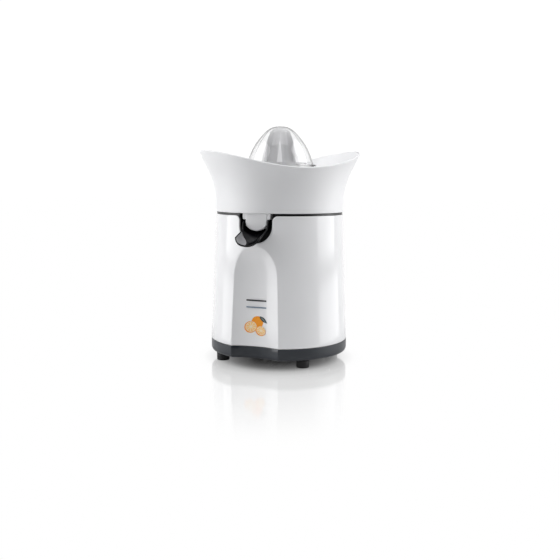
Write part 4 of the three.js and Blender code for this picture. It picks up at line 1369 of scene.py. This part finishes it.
def seen_by(piece, camera=False, diffuse=False, glossy=False, transmission=False, shadow=False):
    piece.visible_camera = camera
    piece.visible_diffuse = diffuse
    piece.visible_glossy = glossy
    piece.visible_transmission = transmission
    piece.visible_shadow = shadow
    piece.visible_volume_scatter = False


def staged(name, bm, build):
    piece = object_of(name, bm)
    piece.data.materials.append(stage_material(name, build))
    piece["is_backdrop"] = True
    return piece


def flat_disc(name, z, build, radii=(0.05, 0.12, 0.25, 0.6, 1.5, 4.0, STAGE_RADIUS)):
    bm = bmesh.new()
    rings = [[bm.verts.new((AXIS.x, AXIS.y, z))]]
    for radius in radii:
        circle = arc(AXIS, radius, 0, 356.25, 95)
        rings.append([bm.verts.new((x, y, z)) for x, y in circle])
    for inner, outer in zip(rings, rings[1:]):
        bridge(bm, outer, inner)
    return staged(name, bm, build)


def glow(tree, colour, strength):
    node = tree.nodes.new("ShaderNodeEmission")
    node.inputs["Color"].default_value = (*colour, 1)
    node.inputs["Strength"].default_value = strength
    return node.outputs["Emission"]


# Brightness of the floor by distance from the axis, in metres: a painted contact shadow, dark under the base,
# white past it.
FLOOR_PAINTED_SHADOW = [
    (0.038, 0.035),
    (0.048, 0.06),
    (0.057, 0.11),
    (0.065, 0.17),
    (0.072, 0.27),
    (0.079, 0.48),
    (0.087, 0.74),
    (0.095, 0.86),
    (0.104, 0.98),
    (0.115, 1.0),
]
# How much narrower the painted shadow is sideways than towards the camera.
PAINTED_SHADOW_SQUEEZE = 1.2
# How strongly the floor reflects, by the same distance.
FLOOR_FADE = [
    (0.105, 1.0),
    (0.13, 0.88),
    (0.183, 0.9),
    (0.21, 0.75),
    (0.236, 0.57),
    (0.26, 0.42),
    (0.283, 0.21),
    (0.304, 0.07),
    (0.33, 0.0),
]
FLOOR_REACH = 0.4
FLOOR_BOOST = 1.2


def floor_shader(tree):
    """White acrylic that glows evenly, with a painted shadow right under the base, and a reflection that
    fades outwards.
    """
    coordinates = tree.nodes.new("ShaderNodeTexCoord")
    centre = tree.nodes.new("ShaderNodeVectorMath")
    centre.operation = "SUBTRACT"
    centre.inputs[1].default_value = (AXIS.x, AXIS.y, 0)
    tree.links.new(coordinates.outputs["Object"], centre.inputs[0])

    def by_radius(stops, sideways=1.0):
        turned = tree.nodes.new("ShaderNodeVectorRotate")
        turned.rotation_type = "Z_AXIS"
        turned.inputs["Angle"].default_value = -CAMERA_TURN
        tree.links.new(centre.outputs["Vector"], turned.inputs["Vector"])
        stretched = tree.nodes.new("ShaderNodeVectorMath")
        stretched.operation = "MULTIPLY"
        stretched.inputs[1].default_value = (sideways, 1, 0)
        tree.links.new(turned.outputs["Vector"], stretched.inputs[0])
        length = tree.nodes.new("ShaderNodeVectorMath")
        length.operation = "LENGTH"
        tree.links.new(stretched.outputs["Vector"], length.inputs[0])
        spread = tree.nodes.new("ShaderNodeMapRange")
        spread.inputs["From Max"].default_value = FLOOR_REACH
        tree.links.new(length.outputs["Value"], spread.inputs["Value"])
        shares = [(radius / FLOOR_REACH, grey) for radius, grey in stops]
        return stepped(tree, spread.outputs["Result"], shares)

    # The glow is darkened by distance into a painted shadow under the base.
    emission = tree.nodes.new("ShaderNodeEmission")
    tree.links.new(by_radius(FLOOR_PAINTED_SHADOW, PAINTED_SHADOW_SQUEEZE), emission.inputs["Color"])
    mirror = tree.nodes.new("ShaderNodeBsdfGlossy")
    mirror.inputs["Roughness"].default_value = 0.1
    mirror.inputs["Color"].default_value = (1, 1, 1, 1)
    fresnel = tree.nodes.new("ShaderNodeFresnel")
    fresnel.inputs["IOR"].default_value = 1.5
    boosted = tree.nodes.new("ShaderNodeMath")
    boosted.operation = "MULTIPLY"
    boosted.use_clamp = True
    boosted.inputs[1].default_value = FLOOR_BOOST
    tree.links.new(fresnel.outputs["Fac"], boosted.inputs[0])
    weight = tree.nodes.new("ShaderNodeMath")
    weight.operation = "MULTIPLY"
    tree.links.new(boosted.outputs["Value"], weight.inputs[0])
    tree.links.new(by_radius(FLOOR_FADE), weight.inputs[1])
    mix = tree.nodes.new("ShaderNodeMixShader")
    tree.links.new(weight.outputs["Value"], mix.inputs["Fac"])
    tree.links.new(emission.outputs["Emission"], mix.inputs[1])
    tree.links.new(mirror.outputs["BSDF"], mix.inputs[2])
    return mix.outputs["Shader"]


def bounce_shader(tree):
    node = tree.nodes.new("ShaderNodeBsdfDiffuse")
    node.inputs["Color"].default_value = (0.7, 0.7, 0.7, 1)
    return node.outputs["BSDF"]


seen_by(flat_disc("floor", 0, floor_shader), camera=True, transmission=True)
seen_by(flat_disc("floor_bounce", -0.0004, bounce_shader), diffuse=True, shadow=True)
seen_by(flat_disc("floor_near", -0.0002, bounce_shader, (0.05, 0.12, 0.24)), glossy=True)

# Brightness of the surroundings, from 0 straight behind the object to 1 straight in front of it.
ROOM = [(0.4, 1.0), (0.62, 0.12)]
WINDOW = [(0.0, 1.05), (0.010, 1.05), (0.03, 0.14), (0.08, 0.14), (0.13, 1.0), (1.0, 0.9)]


def dome(name, radius, stops):
    def build(tree):
        coordinates = tree.nodes.new("ShaderNodeTexCoord")
        towards = tree.nodes.new("ShaderNodeVectorMath")
        towards.operation = "DOT_PRODUCT"
        towards.inputs[1].default_value = (*around(1 / radius, CAMERA_TURN), 0)
        tree.links.new(coordinates.outputs["Object"], towards.inputs[0])
        spread = tree.nodes.new("ShaderNodeMapRange")
        spread.inputs["From Min"].default_value = -1
        tree.links.new(towards.outputs["Value"], spread.inputs["Value"])
        emission = tree.nodes.new("ShaderNodeEmission")
        tree.links.new(stepped(tree, spread.outputs["Result"], stops), emission.inputs["Color"])
        return emission.outputs["Emission"]

    bm = bmesh.new()
    bmesh.ops.create_uvsphere(bm, u_segments=64, v_segments=32, radius=radius)
    return staged(name, bm, build)


seen_by(dome("backdrop", STAGE_RADIUS, [(0.0, 1.05), (1.0, 1.05)]), camera=True)
seen_by(dome("room", STAGE_RADIUS - 0.5, ROOM), glossy=True)
seen_by(dome("window", STAGE_RADIUS - 1, WINDOW), transmission=True)

LIGHT_DISTANCE, LIGHT_WIDTH, LIGHT_TALL = 1.35, 1.25, 1.6
PANEL_DROP = 1.2


def at_turn(distance, turn_deg, height):
    """A place at an angle from the camera's side of the object towards its right."""
    x, y = around(distance, CAMERA_TURN + math.radians(turn_deg))
    return Vector((AXIS.x + x, AXIS.y + y, height))


def low_panel(name, turn_deg, strength):
    """The part of a softbox that a glossy wall mirrors below the table line."""
    centre = at_turn(LIGHT_DISTANCE, turn_deg, 0)
    turn = CAMERA_TURN + math.radians(turn_deg)
    across = Vector((math.cos(turn), math.sin(turn), 0)) * (LIGHT_WIDTH / 2)
    drop = Vector((0, 0, -PANEL_DROP))
    bm = bmesh.new()
    corners = (centre - across + drop, centre + across + drop, centre + across, centre - across)
    bm.faces.new([bm.verts.new(corner) for corner in corners])
    seen_by(staged(name, bm, lambda tree: glow(tree, (1, 1, 1), strength)), glossy=True)


low_panel("low_panel_right", 95, 2.9)
low_panel("low_panel_left", -85, 2.7)

world = bpy.data.worlds.new("studio")
bpy.context.scene.world = world
world.use_nodes = True
background = world.node_tree.nodes["Background"]
background.inputs["Color"].default_value = (0.95, 0.97, 1, 1)
background.inputs["Strength"].default_value = 0.24


def softbox(name, location, width, tall, radiance, aim_height):
    """A rectangular light that points at the axis."""
    light = bpy.data.lights.new(name, "AREA")
    light.shape = "RECTANGLE"
    light.size, light.size_y = width, tall
    light.energy = radiance * math.pi * width * tall
    lamp = placed(name, light)
    lamp.location = location
    aim = Vector((AXIS.x, AXIS.y, aim_height)) - location
    lamp.rotation_mode = "QUATERNION"
    lamp.rotation_quaternion = aim.to_track_quat("-Z", "Y")
    lamp.visible_camera = False
    lamp.visible_transmission = False


softbox("softbox_right", at_turn(LIGHT_DISTANCE, 90, LIGHT_TALL / 2), LIGHT_WIDTH, LIGHT_TALL, 3.0, 0.3)
softbox("softbox_left", at_turn(LIGHT_DISTANCE, -84, LIGHT_TALL / 2), LIGHT_WIDTH, LIGHT_TALL, 2.95, 0.3)
softbox("softbox_top", at_turn(0.05, 0, 1.6), 1.2, 1.2, 1.9, 0.13)

bpy.context.scene.view_settings.view_transform = "Standard"

# ---------------------------------------------------------------- sizes
low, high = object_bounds()
